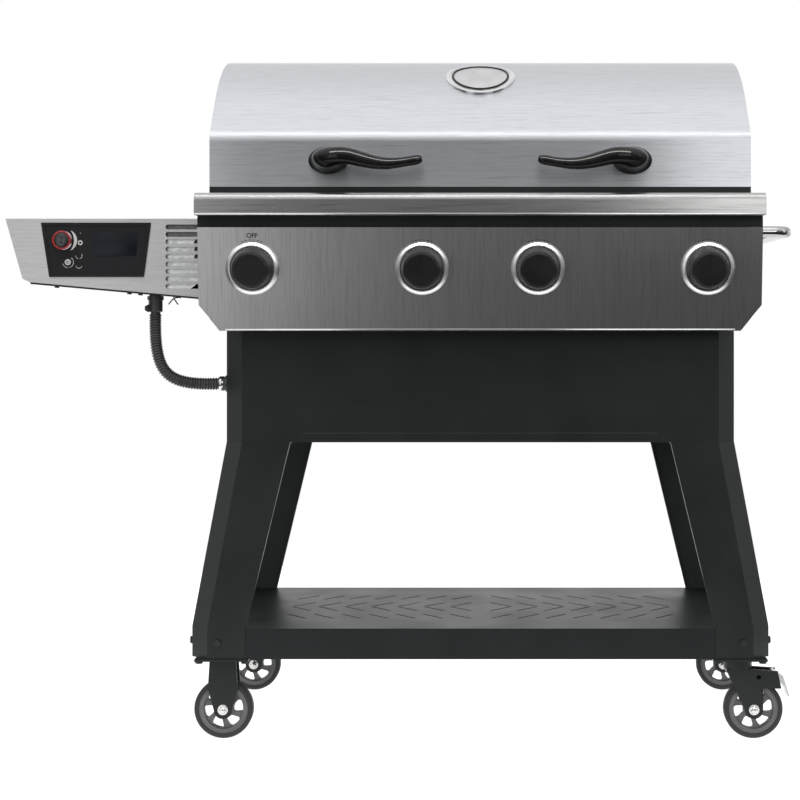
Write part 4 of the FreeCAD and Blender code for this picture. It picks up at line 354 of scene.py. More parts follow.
def clear_selection():
    """Leave edit mode and select nothing."""
    if bpy.context.object and bpy.context.object.mode != "OBJECT":
        bpy.ops.object.mode_set(mode="OBJECT")
    bpy.ops.object.select_all(action="DESELECT")


def pick(piece):
    """Make a piece the only selected one and the active one."""
    clear_selection()
    piece.select_set(True)
    bpy.context.view_layer.objects.active = piece


def edit_all():
    """Enter edit mode with the whole active piece selected."""
    bpy.ops.object.mode_set(mode="EDIT")
    bpy.ops.mesh.select_all(action="SELECT")


def apply_place():
    """Move the selected piece's place, turn and scale into its mesh."""
    bpy.ops.object.transform_apply(location=True, rotation=True, scale=True)


def settle(piece, name, finish, body, smooth=30.0):
    """Apply a piece's place, merge its doubles, turn its faces outward, and let it ride on a body."""
    pick(piece)
    piece.name = name
    piece.data.name = name
    apply_place()
    edit_all()
    bpy.ops.mesh.remove_doubles(threshold=1e-6)
    bpy.ops.mesh.normals_make_consistent(inside=False)
    bpy.ops.object.mode_set(mode="OBJECT")
    bpy.ops.object.shade_smooth_by_angle(angle=math.radians(smooth))
    piece.data.materials.clear()
    piece.data.materials.append(finish)
    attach(piece, body)


def apply_modifiers(piece):
    """Apply a piece's modifiers in their order."""
    pick(piece)
    for modifier in list(piece.modifiers):
        bpy.ops.object.modifier_apply(modifier=modifier.name)


def soften(piece, width, angle=30.0):
    """Round a piece's sharp edges."""
    bevel = piece.modifiers.new("edge", "BEVEL")
    bevel.width = width
    bevel.segments = 2
    bevel.limit_method = "ANGLE"
    bevel.angle_limit = math.radians(angle)
    apply_modifiers(piece)


def strip(low, high, edge):
    """Thin folded strip between two corners about the cart's centre, with rounded edges."""
    low = spot(*low)
    high = spot(*high)
    clear_selection()
    middle = [(a + b) / 2 for a, b in zip(low, high)]
    bpy.ops.mesh.primitive_cube_add(size=1.0, location=middle)
    piece = bpy.context.object
    piece.scale = [b - a for a, b in zip(low, high)]
    apply_place()
    soften(piece, edge)
    return piece


def turned(profile, centre, axis, sides):
    """Turned piece from (radius, distance along the axis) steps; it starts and ends on a flat face."""
    clear_selection()
    last_radius, last_step = profile[0]
    bpy.ops.mesh.primitive_circle_add(vertices=sides, radius=last_radius, fill_type="NGON",
                                      location=(0.0, 0.0, last_step))
    piece = bpy.context.object
    apply_place()
    edit_all()
    for radius, step in profile[1:]:
        bpy.ops.mesh.extrude_region_move(TRANSFORM_OT_translate={"value": (0.0, 0.0, step - last_step)})
        grow = radius / last_radius
        bpy.ops.transform.resize(value=(grow, grow, 1.0), center_override=(0.0, 0.0, step))
        last_radius, last_step = radius, step
    bpy.ops.object.mode_set(mode="OBJECT")
    piece.rotation_mode = "QUATERNION"
    piece.rotation_quaternion = Vector((0.0, 0.0, 1.0)).rotation_difference(Vector(axis))
    piece.location = centre
    return piece


def plate(outline, thickness, place):
    """Flat plate: an outline in its own plane, pulled up by its thickness and set by a matrix."""
    clear_selection()
    bpy.ops.mesh.primitive_circle_add(vertices=len(outline), radius=1.0, fill_type="NGON")
    piece = bpy.context.object
    for corner, (x, y) in zip(piece.data.vertices, outline):
        corner.co = (x, y, 0.0)
    edit_all()
    bpy.ops.mesh.extrude_region_move(TRANSFORM_OT_translate={"value": (0.0, 0.0, thickness)})
    bpy.ops.object.mode_set(mode="OBJECT")
    piece.matrix_world = place
    return piece


def ring(radius, wire_radius, place, sides, wire_sides):
    """Round wire bent into a ring and set by a matrix."""
    clear_selection()
    bpy.ops.mesh.primitive_torus_add(major_radius=radius, minor_radius=wire_radius, major_segments=sides,
                                     minor_segments=wire_sides)
    piece = bpy.context.object
    piece.matrix_world = place
    return piece


def fill_spline(path, points):
    """Give a curve one smooth spline that starts and ends at its end points."""
    path.dimensions = "3D"
    spline = path.splines.new("NURBS")
    spline.points.add(len(points) - 1)
    for knot, place in zip(spline.points, points):
        knot.co = (*place, 1.0)
    spline.order_u = 3
    spline.use_endpoint_u = True
    return spline


def wire(points, radius):
    """Round wire along points, with closed ends."""
    clear_selection()
    bpy.ops.curve.primitive_nurbs_path_add()
    piece = bpy.context.object
    piece.data.splines.clear()
    fill_spline(piece.data, points)
    piece.data.bevel_depth = radius
    piece.data.bevel_resolution = 2
    piece.data.use_fill_caps = True
    bpy.ops.object.convert(target="MESH")
    return bpy.context.object


def joined(pieces):
    """One piece from several."""
    for piece in pieces:
        pick(piece)
        apply_place()
    for piece in pieces:
        piece.select_set(True)
    bpy.ops.object.join()
    return bpy.context.object


def facing(centre, lean=0.0):
    """Matrix that puts a flat outline's X to the right, its Y up and its face to the front at a point."""
    upright = Matrix.Rotation(math.radians(90.0) + lean, 4, "X")
    return Matrix.Translation(centre) @ upright


SHEET_MERGE = 2e-6
FLAT_WITHIN = math.radians(0.5)
EDGE_WIDTHS = {"controller": 0.0022}


def copy_of(name):
    """Loose copy of a solid, with its triangles merged and its flat faces made whole."""
    node = frame["nodes"][name]
    clear_selection()
    piece = node.copy()
    piece.data = node.data.copy()
    bpy.context.scene.collection.objects.link(piece)
    piece.parent = None
    piece.matrix_world = node.matrix_world
    pick(piece)
    edit_all()
    bpy.ops.mesh.remove_doubles(threshold=SHEET_MERGE)
    bpy.ops.mesh.customdata_custom_splitnormals_clear()
    bpy.ops.mesh.dissolve_limited(angle_limit=FLAT_WITHIN)
    bpy.ops.object.mode_set(mode="OBJECT")
    return piece


def rounded_sheet(name, finish, body):
    """Copy of a folded sheet's solid with its edges rounded, shown in its place."""
    piece = copy_of(name)
    soften(piece, EDGE_WIDTHS.get(name, sizes().edge), angle=35.0)
    settle(piece, name + "_sheet", finish, body, smooth=38.0)
    flat = piece.modifiers.new("flat_faces", "WEIGHTED_NORMAL")
    flat.keep_sharp = True
    flat.weight = 100
    apply_modifiers(piece)
    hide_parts(name)


HOSE_ROUTE = (
    (-0.558, -0.200, 0.727),
    (-0.562, -0.200, 0.598),
    (-0.443, -0.200, 0.604),
)
# Weight of the route's middle point, which tightens the bend.
HOSE_CORNER_PULL = 1.7
HOSE_PLAIN_END = 0.004
HOSE_STEP = 0.0006
RIB_FULLNESS = 0.7


def hose_line():
    """Points of the hose's centre line, from the gland under the hopper to the fitting in the apron."""
    path = bpy.data.curves.new("hose_route", "CURVE")
    path.resolution_u = 64
    spline = fill_spline(path, [spot(*place) for place in HOSE_ROUTE])
    spline.points[1].co.w = HOSE_CORNER_PULL
    carrier = bpy.data.objects.new("hose_route", path)
    bpy.context.scene.collection.objects.link(carrier)
    line = bpy.data.meshes.new_from_object(carrier.evaluated_get(bpy.context.evaluated_depsgraph_get()))
    points = [corner.co.copy() for corner in line.vertices]
    bpy.data.objects.remove(carrier)
    bpy.data.meshes.remove(line)
    return points


def along(points, distance):
    """Point and direction at a distance along a line of points."""
    left = distance
    for first, second in zip(points, points[1:]):
        step = (second - first).length
        if left <= step:
            return first.lerp(second, left / step), (second - first).normalized()
        left -= step
    return points[-1].copy(), (points[-1] - points[-2]).normalized()


def line_length(points):
    """Length along a line of points."""
    return sum((second - first).length for first, second in zip(points, points[1:]))


def rib_radius(distance, total):
    """Radius of the hose at a distance along it: whole ribs between two plain ends."""
    size = sizes()
    ribbed = total - 2 * HOSE_PLAIN_END
    pitch = ribbed / round(ribbed / size.rib_pitch)
    inside = min(max(distance - HOSE_PLAIN_END, 0.0), ribbed)
    wave = 0.5 - 0.5 * math.cos(2 * math.pi * inside / pitch)
    return size.hose_valley + (size.hose_radius - size.hose_valley) * wave ** RIB_FULLNESS


def hose_shell(piece, points, total):
    """Sweep a circle of radius one along a line, and give it the ribs' radius at each step."""
    shell = bmesh.new()
    shell.from_mesh(piece.data)
    circle = [corner.co.copy() for corner in shell.verts]
    shell.clear()
    rings = []
    steps = round(total / HOSE_STEP)
    side = Vector((0.0, 1.0, 0.0))
    for count in range(steps + 1):
        distance = total * count / steps
        centre, direction = along(points, distance)
        other = direction.cross(side)
        radius = rib_radius(distance, total)
        places = [centre + radius * (dot.x * side + dot.y * other) for dot in circle]
        rings.append([shell.verts.new(place) for place in places])
    for first, second in zip(rings, rings[1:]):
        for index in range(len(circle)):
            after = (index + 1) % len(circle)
            shell.faces.new((first[index], first[after], second[after], second[index]))
    shell.faces.new(rings[0])
    shell.faces.new(rings[-1])
    shell.to_mesh(piece.data)
    shell.free()


class GRILL_OT_hose(bpy.types.Operator):
    """Corrugated hose from the hopper's gland to the apron"""
    bl_idname = "grill.hose"
    bl_label = "Hose"

    def execute(self, context):
        points = hose_line()
        total = line_length(points)
        size = sizes()
        clear_selection()
        bpy.ops.mesh.primitive_circle_add(vertices=size.hose_sides, radius=1.0, fill_type="NGON")
        piece = bpy.context.object
        hose_shell(piece, points, total)
        nylon = moulded("hose_nylon", colours().hose_black, gloss=(0.22, 0.30))
        settle(piece, "hose", nylon, "cart", smooth=50.0)
        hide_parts("ribbed_hose")
        return {"FINISHED"}


def body_of_node(name):
    """Name of the body that a solid moves with."""
    for body, empty in frame["bodies"].items():
        if frame["nodes"][name].parent == empty:
            return body
    raise ValueError("no body holds " + name)


ROUNDED_SHEETS = (
    "apron", "front_legs", "rear_legs", "bottom_shelf", "front_ledge", "control_panel", "hopper_housing",
    "hopper_lid", "hopper_bottom", "controller", "swivel_fork_front", "swivel_fork_rear", "fixed_forks",
)


def slot_finishes():
    """One finish for each material slot of the solids."""
    shade = colours()
    return {
        "cart_black": powder_coat("cart_black", shade.cart_black),
        "screw_black": powder_coat("screw_black", scaled(shade.cart_black, 1.6), gloss=(0.28, 0.38)),
        "caster_steel": powder_coat("caster_steel", shade.cart_black, gloss=(0.30, 0.42)),
        "pedal_steel": polished_metal("pedal_steel", (0.62, 0.62, 0.63), shine=(0.22, 0.32)),
        "tyre_rubber": rubber("tyre_rubber", shade.rubber),
        "rim_grey": moulded("rim_grey", shade.rim_grey),
        "firebox_black": powder_coat("firebox_black", shade.cart_black, gloss=(0.45, 0.6)),
        "stainless": brushed_steel("stainless", "x", shine=(0.28, 0.32), level=(0.97, 0.99, 1.02), smear=0.9),
        "chrome": polished_metal("chrome", (0.74, 0.74, 0.75)),
        "knob_black": moulded("knob_black", shade.knob_black, gloss=(0.34, 0.44), level=0.32),
        "horn_black": lacquer("horn_black", shade.gloss_black),
        "switch_plastic": moulded("switch_plastic", (0.05, 0.05, 0.055)),
        "galvanised": galvanised("galvanised"),
        "grate_iron": cast_iron("grate_iron"),
        "controller_black": moulded("controller_black", (0.010, 0.010, 0.012), gloss=(0.42, 0.52),
                                    level=0.25),
        "dial_metal": polished_metal("dial_metal", (0.45, 0.45, 0.46), shine=(0.18, 0.26)),
        "hose_black": moulded("hose_black", shade.hose_black),
    }


def special_finishes():
    """Finishes of the solids that look different from the rest of their slot."""
    black = colours().cart_black
    return {
        "control_panel": brushed_steel("panel_steel", "yz", shine=(0.28, 0.33), level=(0.98, 0.98, 0.96),
                                       smear=0.6, fineness=1.0),
        "front_ledge": brushed_steel("ledge_steel", "x", shine=(0.24, 0.29), level=(0.72, 0.72, 0.70),
                                     smear=0.3, fineness=0.8),
        "hopper_housing": brushed_steel("hopper_steel", "x", shine=(0.36, 0.42), level=(0.85, 0.845, 0.83)),
        "knob_bezels": polished_metal("bezel_chrome", (0.95, 0.95, 0.95), shine=(0.30, 0.38)),
        "side_handle": polished_metal("handle_chrome", (0.48, 0.48, 0.485), shine=(0.08, 0.14)),
        "bottom_shelf": powder_coat("shelf_black", black, gloss=(0.36, 0.44), level=0.18),
        # Painted light: the rear legs get the cart's black made 2.4 times lighter, to lift the shade that
        # falls on them under the apron.
        "rear_legs": powder_coat("rear_black_painted_light", scaled(black, 2.4), gloss=(0.40, 0.50)),
    }


class GRILL_OT_finishes(bpy.types.Operator):
    """Finish for every solid, and rounded edges on the folded sheets"""
    bl_idname = "grill.finishes"
    bl_label = "Finishes"

    def execute(self, context):
        finishes = slot_finishes()
        special = special_finishes()
        for name, node in frame["nodes"].items():
            slot = node.material_slots[0].material.name.split(".")[0]
            finish = special.get(name, finishes[slot])
            for holder in node.material_slots:
                holder.material = finish
            if name in ROUNDED_SHEETS:
                rounded_sheet(name, finish, body_of_node(name))
        return {"FINISHED"}


FRONT_SKY = ((-1.0, 0.05), (-0.2, 0.05), (0.02, 0.10), (0.14, 0.22), (0.45, 0.90), (0.8, 1.38), (1.0, 1.02))
BACK_SKY = ((-1.0, 0.40), (-0.1, 1.10), (0.12, 1.50), (0.35, 0.72), (0.7, 0.98), (1.0, 1.08))
LEFT_LEVEL = 1.1
RIGHT_LEVEL = 0.9

# Soft boxes: name, place, target, width, height and power in watts.
SOFT_BOXES = (
    ("top_box", (0.0, -0.9, 3.2), (0.0, -0.1, 0.6), 3.2, 1.2, 6.0),
    ("left_card", (-1.27, -2.1, 0.48), (-0.5, -0.3, 0.60), 1.0, 0.86, 3.8),
    ("left_high_card", (-1.10, -2.1, 1.28), (-0.5, -0.3, 1.0), 0.7, 0.32, 1.0),
    ("right_card", (0.92, -2.1, 1.15), (0.4, -0.3, 0.95), 0.9, 0.6, 3.9),
    ("horn_strip", (0.0, -1.1, 2.4), (0.0, -0.4, 1.0), 2.4, 0.06, 4.0),
    ("horn_box", (0.0, -1.3, 2.2), (0.0, -0.4, 1.0), 2.4, 0.35, 60.0),
    ("right_box", (3.4, -1.0, 1.6), (0.0, 0.0, 0.6), 0.9, 2.2, 6.0),
)
HORN_BOX_LIGHTS = ("horn_handles", "knob_bezels")
FLOOR_RADIUS = 1.6
FLOOR_MIDDLE = 0.6
FLOOR_DROP = 0.0005
SENSOR_WIDTH = 36.0
FOCAL_LENGTH = 86.4
LENS_SHIFT = (-0.11, -0.10)
CAMERA_SIDE = 0.013


def soft_box(name, place, target, width, height, power):
    """Lamp that shines from a place towards a target."""
    lamp = bpy.data.lights.new(name, "AREA")
    lamp.shape = "RECTANGLE"
    lamp.size = width
    lamp.size_y = height
    lamp.energy = power
    holder = bpy.data.objects.new(name, lamp)
    bpy.context.scene.collection.objects.link(holder)
    holder.location = place
    holder.rotation_euler = (Vector(target) - Vector(place)).to_track_quat("-Z", "Y").to_euler()
    return holder


def shine_only_on(holder, names):
    """Keep a lamp for some solids alone, as a flag would."""
    lit = bpy.data.collections.new(holder.name + "_lit")
    for name in names:
        lit.objects.link(frame["nodes"][name])
    holder.light_linking.receiver_collection = lit


def sky_ramp(tree, height, stops):
    """Brightness of the studio by the sine of the elevation, from (sine, brightness) stops."""
    ramp = put(tree, "ValToRGB", Fac=height)
    elements = ramp.color_ramp.elements
    elements[0].position = 0.0
    elements[1].position = 1.0
    for sine, level in stops[1:-1]:
        elements.new((sine + 1.0) / 2.0)
    for element, (sine, level) in zip(elements, stops):
        element.position = (sine + 1.0) / 2.0
        element.color = (level, level, level, 1.0)
    return ramp.outputs["Color"]


def studio_world():
    """White backdrop for the camera, and a studio that is dim in front, bright above and pale behind."""
    world = bpy.data.worlds.new("studio")
    bpy.context.scene.world = world
    world.use_nodes = True
    tree = world.node_tree
    tree.nodes.clear()
    sky = put(tree, "TexCoord").outputs["Generated"]
    parts = put(tree, "SeparateXYZ", Vector=sky)
    height = between(tree, parts.outputs["Z"], 0.0, 1.0, -1.0, 1.0)
    front = sky_ramp(tree, height, FRONT_SKY)
    back = sky_ramp(tree, height, BACK_SKY)
    turn = between(tree, parts.outputs["Y"], 0.0, 1.0, 0.0, 0.4)
    around = put(tree, "MixRGB", Fac=turn, Color1=front, Color2=back)
    side = between(tree, parts.outputs["X"], LEFT_LEVEL, RIGHT_LEVEL, -1.0, 1.0)
    room = put(tree, "Background", Color=around.outputs["Color"], Strength=side)
    backdrop = put(tree, "Background", Color=(1.0, 1.0, 1.0, 1.0), Strength=1.0)
    rays = put(tree, "LightPath")
    mixed = put(tree, "MixShader", Fac=rays.outputs["Is Camera Ray"])
    tree.links.new(room.outputs["Background"], mixed.inputs[1])
    tree.links.new(backdrop.outputs["Background"], mixed.inputs[2])
    out = put(tree, "OutputWorld")
    tree.links.new(mixed.outputs["Shader"], out.inputs["Surface"])


def pale_floor():
    """Round sheet of white paper under the cart, which glows a little."""
    clear_selection()
    bpy.ops.mesh.primitive_circle_add(vertices=96, radius=FLOOR_RADIUS, fill_type="NGON",
                                      location=(CART_X, FLOOR_MIDDLE, -FLOOR_DROP))
    floor = bpy.context.object
    floor.name = "floor"
    finish, tree, bsdf = start_finish("floor_white")
    paper = even_grain(tree, scale=30.0, detail=3.0)
    tree.links.new(tint(tree, paper, (0.34, 0.34, 0.34), (0.37, 0.37, 0.37)), bsdf.inputs["Base Color"])
    sets(bsdf, Roughness=0.8, Emission_Color=(1.0, 1.0, 1.0, 1.0), Emission_Strength=0.95)
    floor.data.materials.append(finish)


def photo_camera():
    """Camera that stands as the photo's did."""
    lens = bpy.data.cameras.new("photo_camera")
    lens.sensor_width = SENSOR_WIDTH
    lens.lens = FOCAL_LENGTH
    lens.shift_x, lens.shift_y = LENS_SHIFT
    viewer = bpy.data.objects.new("photo_camera", lens)
    bpy.context.scene.collection.objects.link(viewer)
    viewer.location = (CART_X + CAMERA_SIDE, -sizes().camera_distance, sizes().camera_height)
    viewer.rotation_euler = (math.radians(90.0), 0.0, 0.0)
    bpy.context.scene.camera = viewer


class GRILL_OT_stage(bpy.types.Operator):
    """Pale floor, soft studio light and the camera"""
    bl_idname = "grill.stage"
    bl_label = "Stage"

    def execute(self, context):
        pale_floor()
        for name, place, target, width, height, power in SOFT_BOXES:
            holder = soft_box(name, spot(*place), spot(*target), width, height, power)
            if name == "horn_box":
                shine_only_on(holder, HORN_BOX_LIGHTS)
        studio_world()
        photo_camera()
        context.scene.view_settings.view_transform = "Standard"
        return {"FINISHED"}


KNOB_COLUMNS = (-0.377, -0.096, 0.096, 0.377)
KNOB_HEIGHT = 0.799
PANEL_FACE = -0.3218
PANEL_TILT = math.radians(7.0)
BEZEL_RADIUS = 0.0445
MARK_THICKNESS = 0.0003
WORD_SCALE = 1.25
WORD_BOLDNESS = 0.025
TICK_ANGLES = (70, 78, 86, 94, 102, 110)
TICK_HALF_ANGLE = 2
TICK_BAND = (BEZEL_RADIUS + 0.0014, BEZEL_RADIUS + 0.0028)


def panel_depth(z):
    """Depth of the control panel's tilted face at a height."""
    return PANEL_FACE - (z - KNOB_HEIGHT) * math.tan(PANEL_TILT)


def on_panel(x, z):
    """Matrix of the control panel's face at a place."""
    return facing(spot(x, panel_depth(z), z), PANEL_TILT)


def circle_outline(radius, count):
    """Outline of a circle."""
    angles = [2 * math.pi * k / count for k in range(count)]
    return [(radius * math.cos(a), radius * math.sin(a)) for a in angles]


def arc_outline(inner, outer, start, end, taper=0.0, count=24):
    """Outline of a band along an arc, in degrees; a taper thins it towards both ends."""
    angles = [math.radians(start + (end - start) * k / count) for k in range(count + 1)]
    middle = (inner + outer) / 2
    half = (outer - inner) / 2
    wide = [half * (1.0 - taper * abs(2.0 * k / count - 1.0) ** 2) for k in range(count + 1)]
    far = [((middle + w) * math.cos(a), (middle + w) * math.sin(a)) for a, w in zip(angles, wide)]
    near = [((middle - w) * math.cos(a), (middle - w) * math.sin(a)) for a, w in zip(angles, wide)]
    return far + near[::-1]


def word(text, height, place):
    """Plain printed word as a thin raised mesh, centred on a place."""
    clear_selection()
    bpy.ops.object.text_add()
    piece = bpy.context.object
    piece.data.body = text
    piece.data.size = height
    piece.data.align_x = "CENTER"
    piece.data.align_y = "CENTER"
    piece.data.extrude = MARK_THICKNESS / 2
    piece.data.offset = height * WORD_BOLDNESS
    bpy.ops.object.convert(target="MESH")
    piece = bpy.context.object
    piece.matrix_world = place
    return piece


class GRILL_OT_panel_marks(bpy.types.Operator):
    """Word above the left knob, and a row of ticks over every bezel"""
    bl_idname = "grill.panel_marks"
    bl_label = "Panel marks"

    def execute(self, context):
        ink = printed("panel_ink", colours().print_dark)
        height = sizes().mark_height
        above = KNOB_HEIGHT + BEZEL_RADIUS + height
        settle(word("OFF", height * WORD_SCALE, on_panel(KNOB_COLUMNS[0], above)), "panel_word", ink, "cart")
        ticks = []
        for x in KNOB_COLUMNS:
            for angle in TICK_ANGLES:
                start = angle - TICK_HALF_ANGLE
                end = angle + TICK_HALF_ANGLE
                tick = arc_outline(*TICK_BAND, start, end, taper=0.3, count=4)
                ticks.append(plate(tick, MARK_THICKNESS, on_panel(x, KNOB_HEIGHT)))
        settle(joined(ticks), "panel_ticks", ink, "cart")
        return {"FINISHED"}


CONTROL_FACE = -0.2425
DIAL_SPOT = (-0.7075, 0.848)
DIAL_REACH = 0.013
POWER_SPOT = (-0.699, 0.811)
MENU_UPPER = (-0.6805, 0.822)
MENU_LOWER = (-0.6805, 0.806)
LAMP_SPOT = (-0.678, 0.860)
LAMP_RADIUS = 0.0007
SENSOR_SPOT = (-0.6785, 0.844)
SENSOR_RING = 0.0031
SENSOR_WIRE = 0.0011
WINDOW_MIDDLE = (-0.6185, 0.842)
WINDOW_CORNERS = ((-0.6555, 0.8215), (-0.5835, 0.8215), (-0.5795, 0.8625), (-0.6555, 0.8625))
WINDOW_GLASS = 0.0006
WINDOW_EDGE = 0.0004
SCALE_BAND = (0.0185, 0.0237)
POWER_BAND = (0.0088, 0.0096)
MENU_BAND = (0.0047, 0.0057)


def on_controller(x, z, proud=0.0):
    """Matrix of the control head's face at a place."""
    return facing(spot(x, CONTROL_FACE - proud, z))


def control_mark(outline, place):
    """Thin printed mark on the control head."""
    return plate(outline, MARK_THICKNESS, on_controller(*place))


class GRILL_OT_control_head(bpy.types.Operator):
    """Display window, scale, printed rings and sensor ring of the control head"""
    bl_idname = "grill.control_head"
    bl_label = "Control head"

    def execute(self, context):
        shade = colours()
        corners = [(x - WINDOW_MIDDLE[0], z - WINDOW_MIDDLE[1]) for x, z in WINDOW_CORNERS]
        window = plate(corners, WINDOW_GLASS, on_controller(*WINDOW_MIDDLE))
        soften(window, WINDOW_EDGE)
        settle(window, "display_window", dark_glass("display_glass", shade.display), "cart")
        white = printed("white_ink", shade.print_white)
        marks = [
            control_mark(arc_outline(*SCALE_BAND, start=-52, end=50, taper=0.85), DIAL_SPOT),
            control_mark(arc_outline(*POWER_BAND, start=-75, end=55), POWER_SPOT),
            control_mark(arc_outline(*POWER_BAND, start=195, end=270), POWER_SPOT),
            control_mark(arc_outline(*MENU_BAND, start=-80, end=40, taper=0.4), MENU_UPPER),
            control_mark(arc_outline(*MENU_BAND, start=175, end=260, taper=0.4), MENU_UPPER),
            control_mark(arc_outline(*MENU_BAND, start=190, end=350, taper=0.4), MENU_LOWER),
            control_mark(circle_outline(LAMP_RADIUS, count=12), LAMP_SPOT),
        ]
        settle(joined(marks), "control_print", white, "cart")
        sensor = ring(SENSOR_RING, SENSOR_WIRE, on_controller(*SENSOR_SPOT), sides=32, wire_sides=8)
        settle(sensor, "sensor_ring", white, "cart")
        return {"FINISHED"}


DIAL_RING = 0.0143
DIAL_RING_WIRE = 0.0017
DIAL_RING_SINK = 0.0012
DIAL_FACE_PROFILE = ((0.0122, 0.0), (0.0122, 0.0006), (0.0115, 0.0010), (0.0040, 0.0007))
POWER_CAP_PROFILE = ((0.0052, 0.0), (0.0052, 0.0003), (0.0047, 0.0006))
POWER_REACH = 0.002
POWER_MARK_REACH = 0.0025
POWER_MARK_BAND = (0.0019, 0.0026)
POWER_BAR = ((-0.0004, 0.0), (0.0004, 0.0), (0.0004, 0.0028), (-0.0004, 0.0028))


class GRILL_OT_dial(bpy.types.Operator):
    """Red ring and spun face of the dial, and the face of the power button"""
    bl_idname = "grill.dial"
    bl_label = "Dial"

    def execute(self, context):
        self.dial()
        self.power_button()
        return {"FINISHED"}

    @staticmethod
    def dial():
        """Ring and face that turn with the dial."""
        x, z = DIAL_SPOT
        front = spot(x, CONTROL_FACE - DIAL_REACH, z)
        red = moulded("dial_red", colours().ring_red, gloss=(0.18, 0.28))
        place = on_controller(x, z, DIAL_REACH - DIAL_RING_SINK)
        band = ring(DIAL_RING, DIAL_RING_WIRE, place, sides=64, wire_sides=16)
        settle(band, "dial_ring", red, "controller_dial")
        face = turned(DIAL_FACE_PROFILE, front, FRONT, sides=64)
        settle(face, "dial_face", spun_metal("dial_spun", front), "controller_dial", smooth=60.0)

    @staticmethod
    def power_button():
        """Pale cap of the power button, with its sign."""
        x, z = POWER_SPOT
        pale = moulded("button_pale", (0.55, 0.55, 0.54), gloss=(0.30, 0.40))
        cap = turned(POWER_CAP_PROFILE, spot(x, CONTROL_FACE - POWER_REACH, z), FRONT, sides=40)
        settle(cap, "power_face", pale, "power_button")
        place = on_controller(x, z, POWER_MARK_REACH)
        outlines = (arc_outline(*POWER_MARK_BAND, start=120, end=420), POWER_BAR)
        sign = joined([plate(outline, MARK_THICKNESS, place) for outline in outlines])
        settle(sign, "power_mark", printed("button_ink", colours().print_dark), "power_button")


BADGE_LEAN = math.radians(30.0)
BADGE_FIELD = 0.0505
BADGE_LIFT = 0.0030
BADGE_SHEET = 0.0007
BADGE_RING = 0.0476
BADGE_RING_WIRE = 0.0023
BADGE_RING_LIFT = 0.0002
LID_ARC_RADIUS = 0.343
LID_ARC_HEIGHT = 0.835


class GRILL_OT_badge(bpy.types.Operator):
    """Plain satin field and black ring of the lid's badge, bent to the barrel"""
    bl_idname = "grill.badge"
    bl_label = "Badge"

    def execute(self, context):
        dish = LID_ARC_RADIUS + BADGE_LIFT
        clear_selection()
        bpy.ops.mesh.primitive_grid_add(x_subdivisions=48, y_subdivisions=48, size=2 * BADGE_FIELD)
        field = bpy.context.object
        self.to_disc(field)
        field.location.z = dish
        self.bend(field)
        thick = field.modifiers.new("thickness", "SOLIDIFY")
        thick.thickness = BADGE_SHEET
        thick.offset = 1.0
        apply_modifiers(field)
        self.to_lid(field)
        satin = polished_metal("badge_field", (0.62, 0.62, 0.63), shine=(0.34, 0.44))
        settle(field, "badge_field", satin, "lid", smooth=40.0)
        above = Matrix.Translation((0.0, 0.0, dish + BADGE_RING_LIFT))
        band = ring(BADGE_RING, BADGE_RING_WIRE, above, sides=96, wire_sides=10)
        self.bend(band)
        self.to_lid(band)
        settle(band, "badge_ring", lacquer("badge_black", colours().gloss_black), "lid", smooth=60.0)
        return {"FINISHED"}

    @staticmethod
    def to_disc(piece):
        """Squeeze a square grid into a disc."""
        for corner in piece.data.vertices:
            x = corner.co.x / BADGE_FIELD
            y = corner.co.y / BADGE_FIELD
            corner.co.x = BADGE_FIELD * x * math.sqrt(1.0 - y * y / 2.0)
            corner.co.y = BADGE_FIELD * y * math.sqrt(1.0 - x * x / 2.0)

    @staticmethod
    def bend(piece):
        """Lay a flat piece on the barrel's arc; its height is its distance from the arc's axis."""
        pick(piece)
        apply_place()
        for corner in piece.data.vertices:
            angle = corner.co.y / LID_ARC_RADIUS
            reach = corner.co.z
            corner.co.y = reach * math.sin(angle)
            corner.co.z = reach * math.cos(angle)

    @staticmethod
    def to_lid(piece):
        """Turn a piece from the top of the arc to the badge's place on the lid."""
        axis = Matrix.Translation(spot(0.0, 0.0, LID_ARC_HEIGHT))
        piece.matrix_world = axis @ Matrix.Rotation(BADGE_LEAN, 4, "X")


LOUVRE_LEFT = -0.534
LOUVRE_RIGHT = -0.470
LOUVRE_TOP = 0.875
LOUVRE_PITCH = 0.0126
BAFFLE_PLANE = -0.231
BAFFLE_SHEET = 0.0012
BAFFLE_LEFT = LOUVRE_LEFT - 0.006
BAFFLE_RIGHT = LOUVRE_RIGHT - 0.002
BAFFLE_INNER = LOUVRE_RIGHT - 0.004
BAFFLE_CUT = LOUVRE_LEFT + 0.030
BAFFLE_TOP_DROP = 0.003
BAFFLE_LOW_DROP = 0.010
STAY_FOOT = (-0.487, -0.474)
STAY_HEAD = (-0.484, -0.477)
STAY_HEIGHT = 0.0065
STAY_SHEET = 0.004


def louvre_level(index):
    """Height of the lower edge of a louvre slot, and of the bar under it."""
    return LOUVRE_TOP - index * LOUVRE_PITCH - LOUVRE_PITCH / 2


def behind_louvres(outline, sheet, proud=0.0):
    """Upright plate behind the louvre slots."""
    return plate(outline, sheet, facing(spot(0.0, BAFFLE_PLANE - proud, 0.0)))


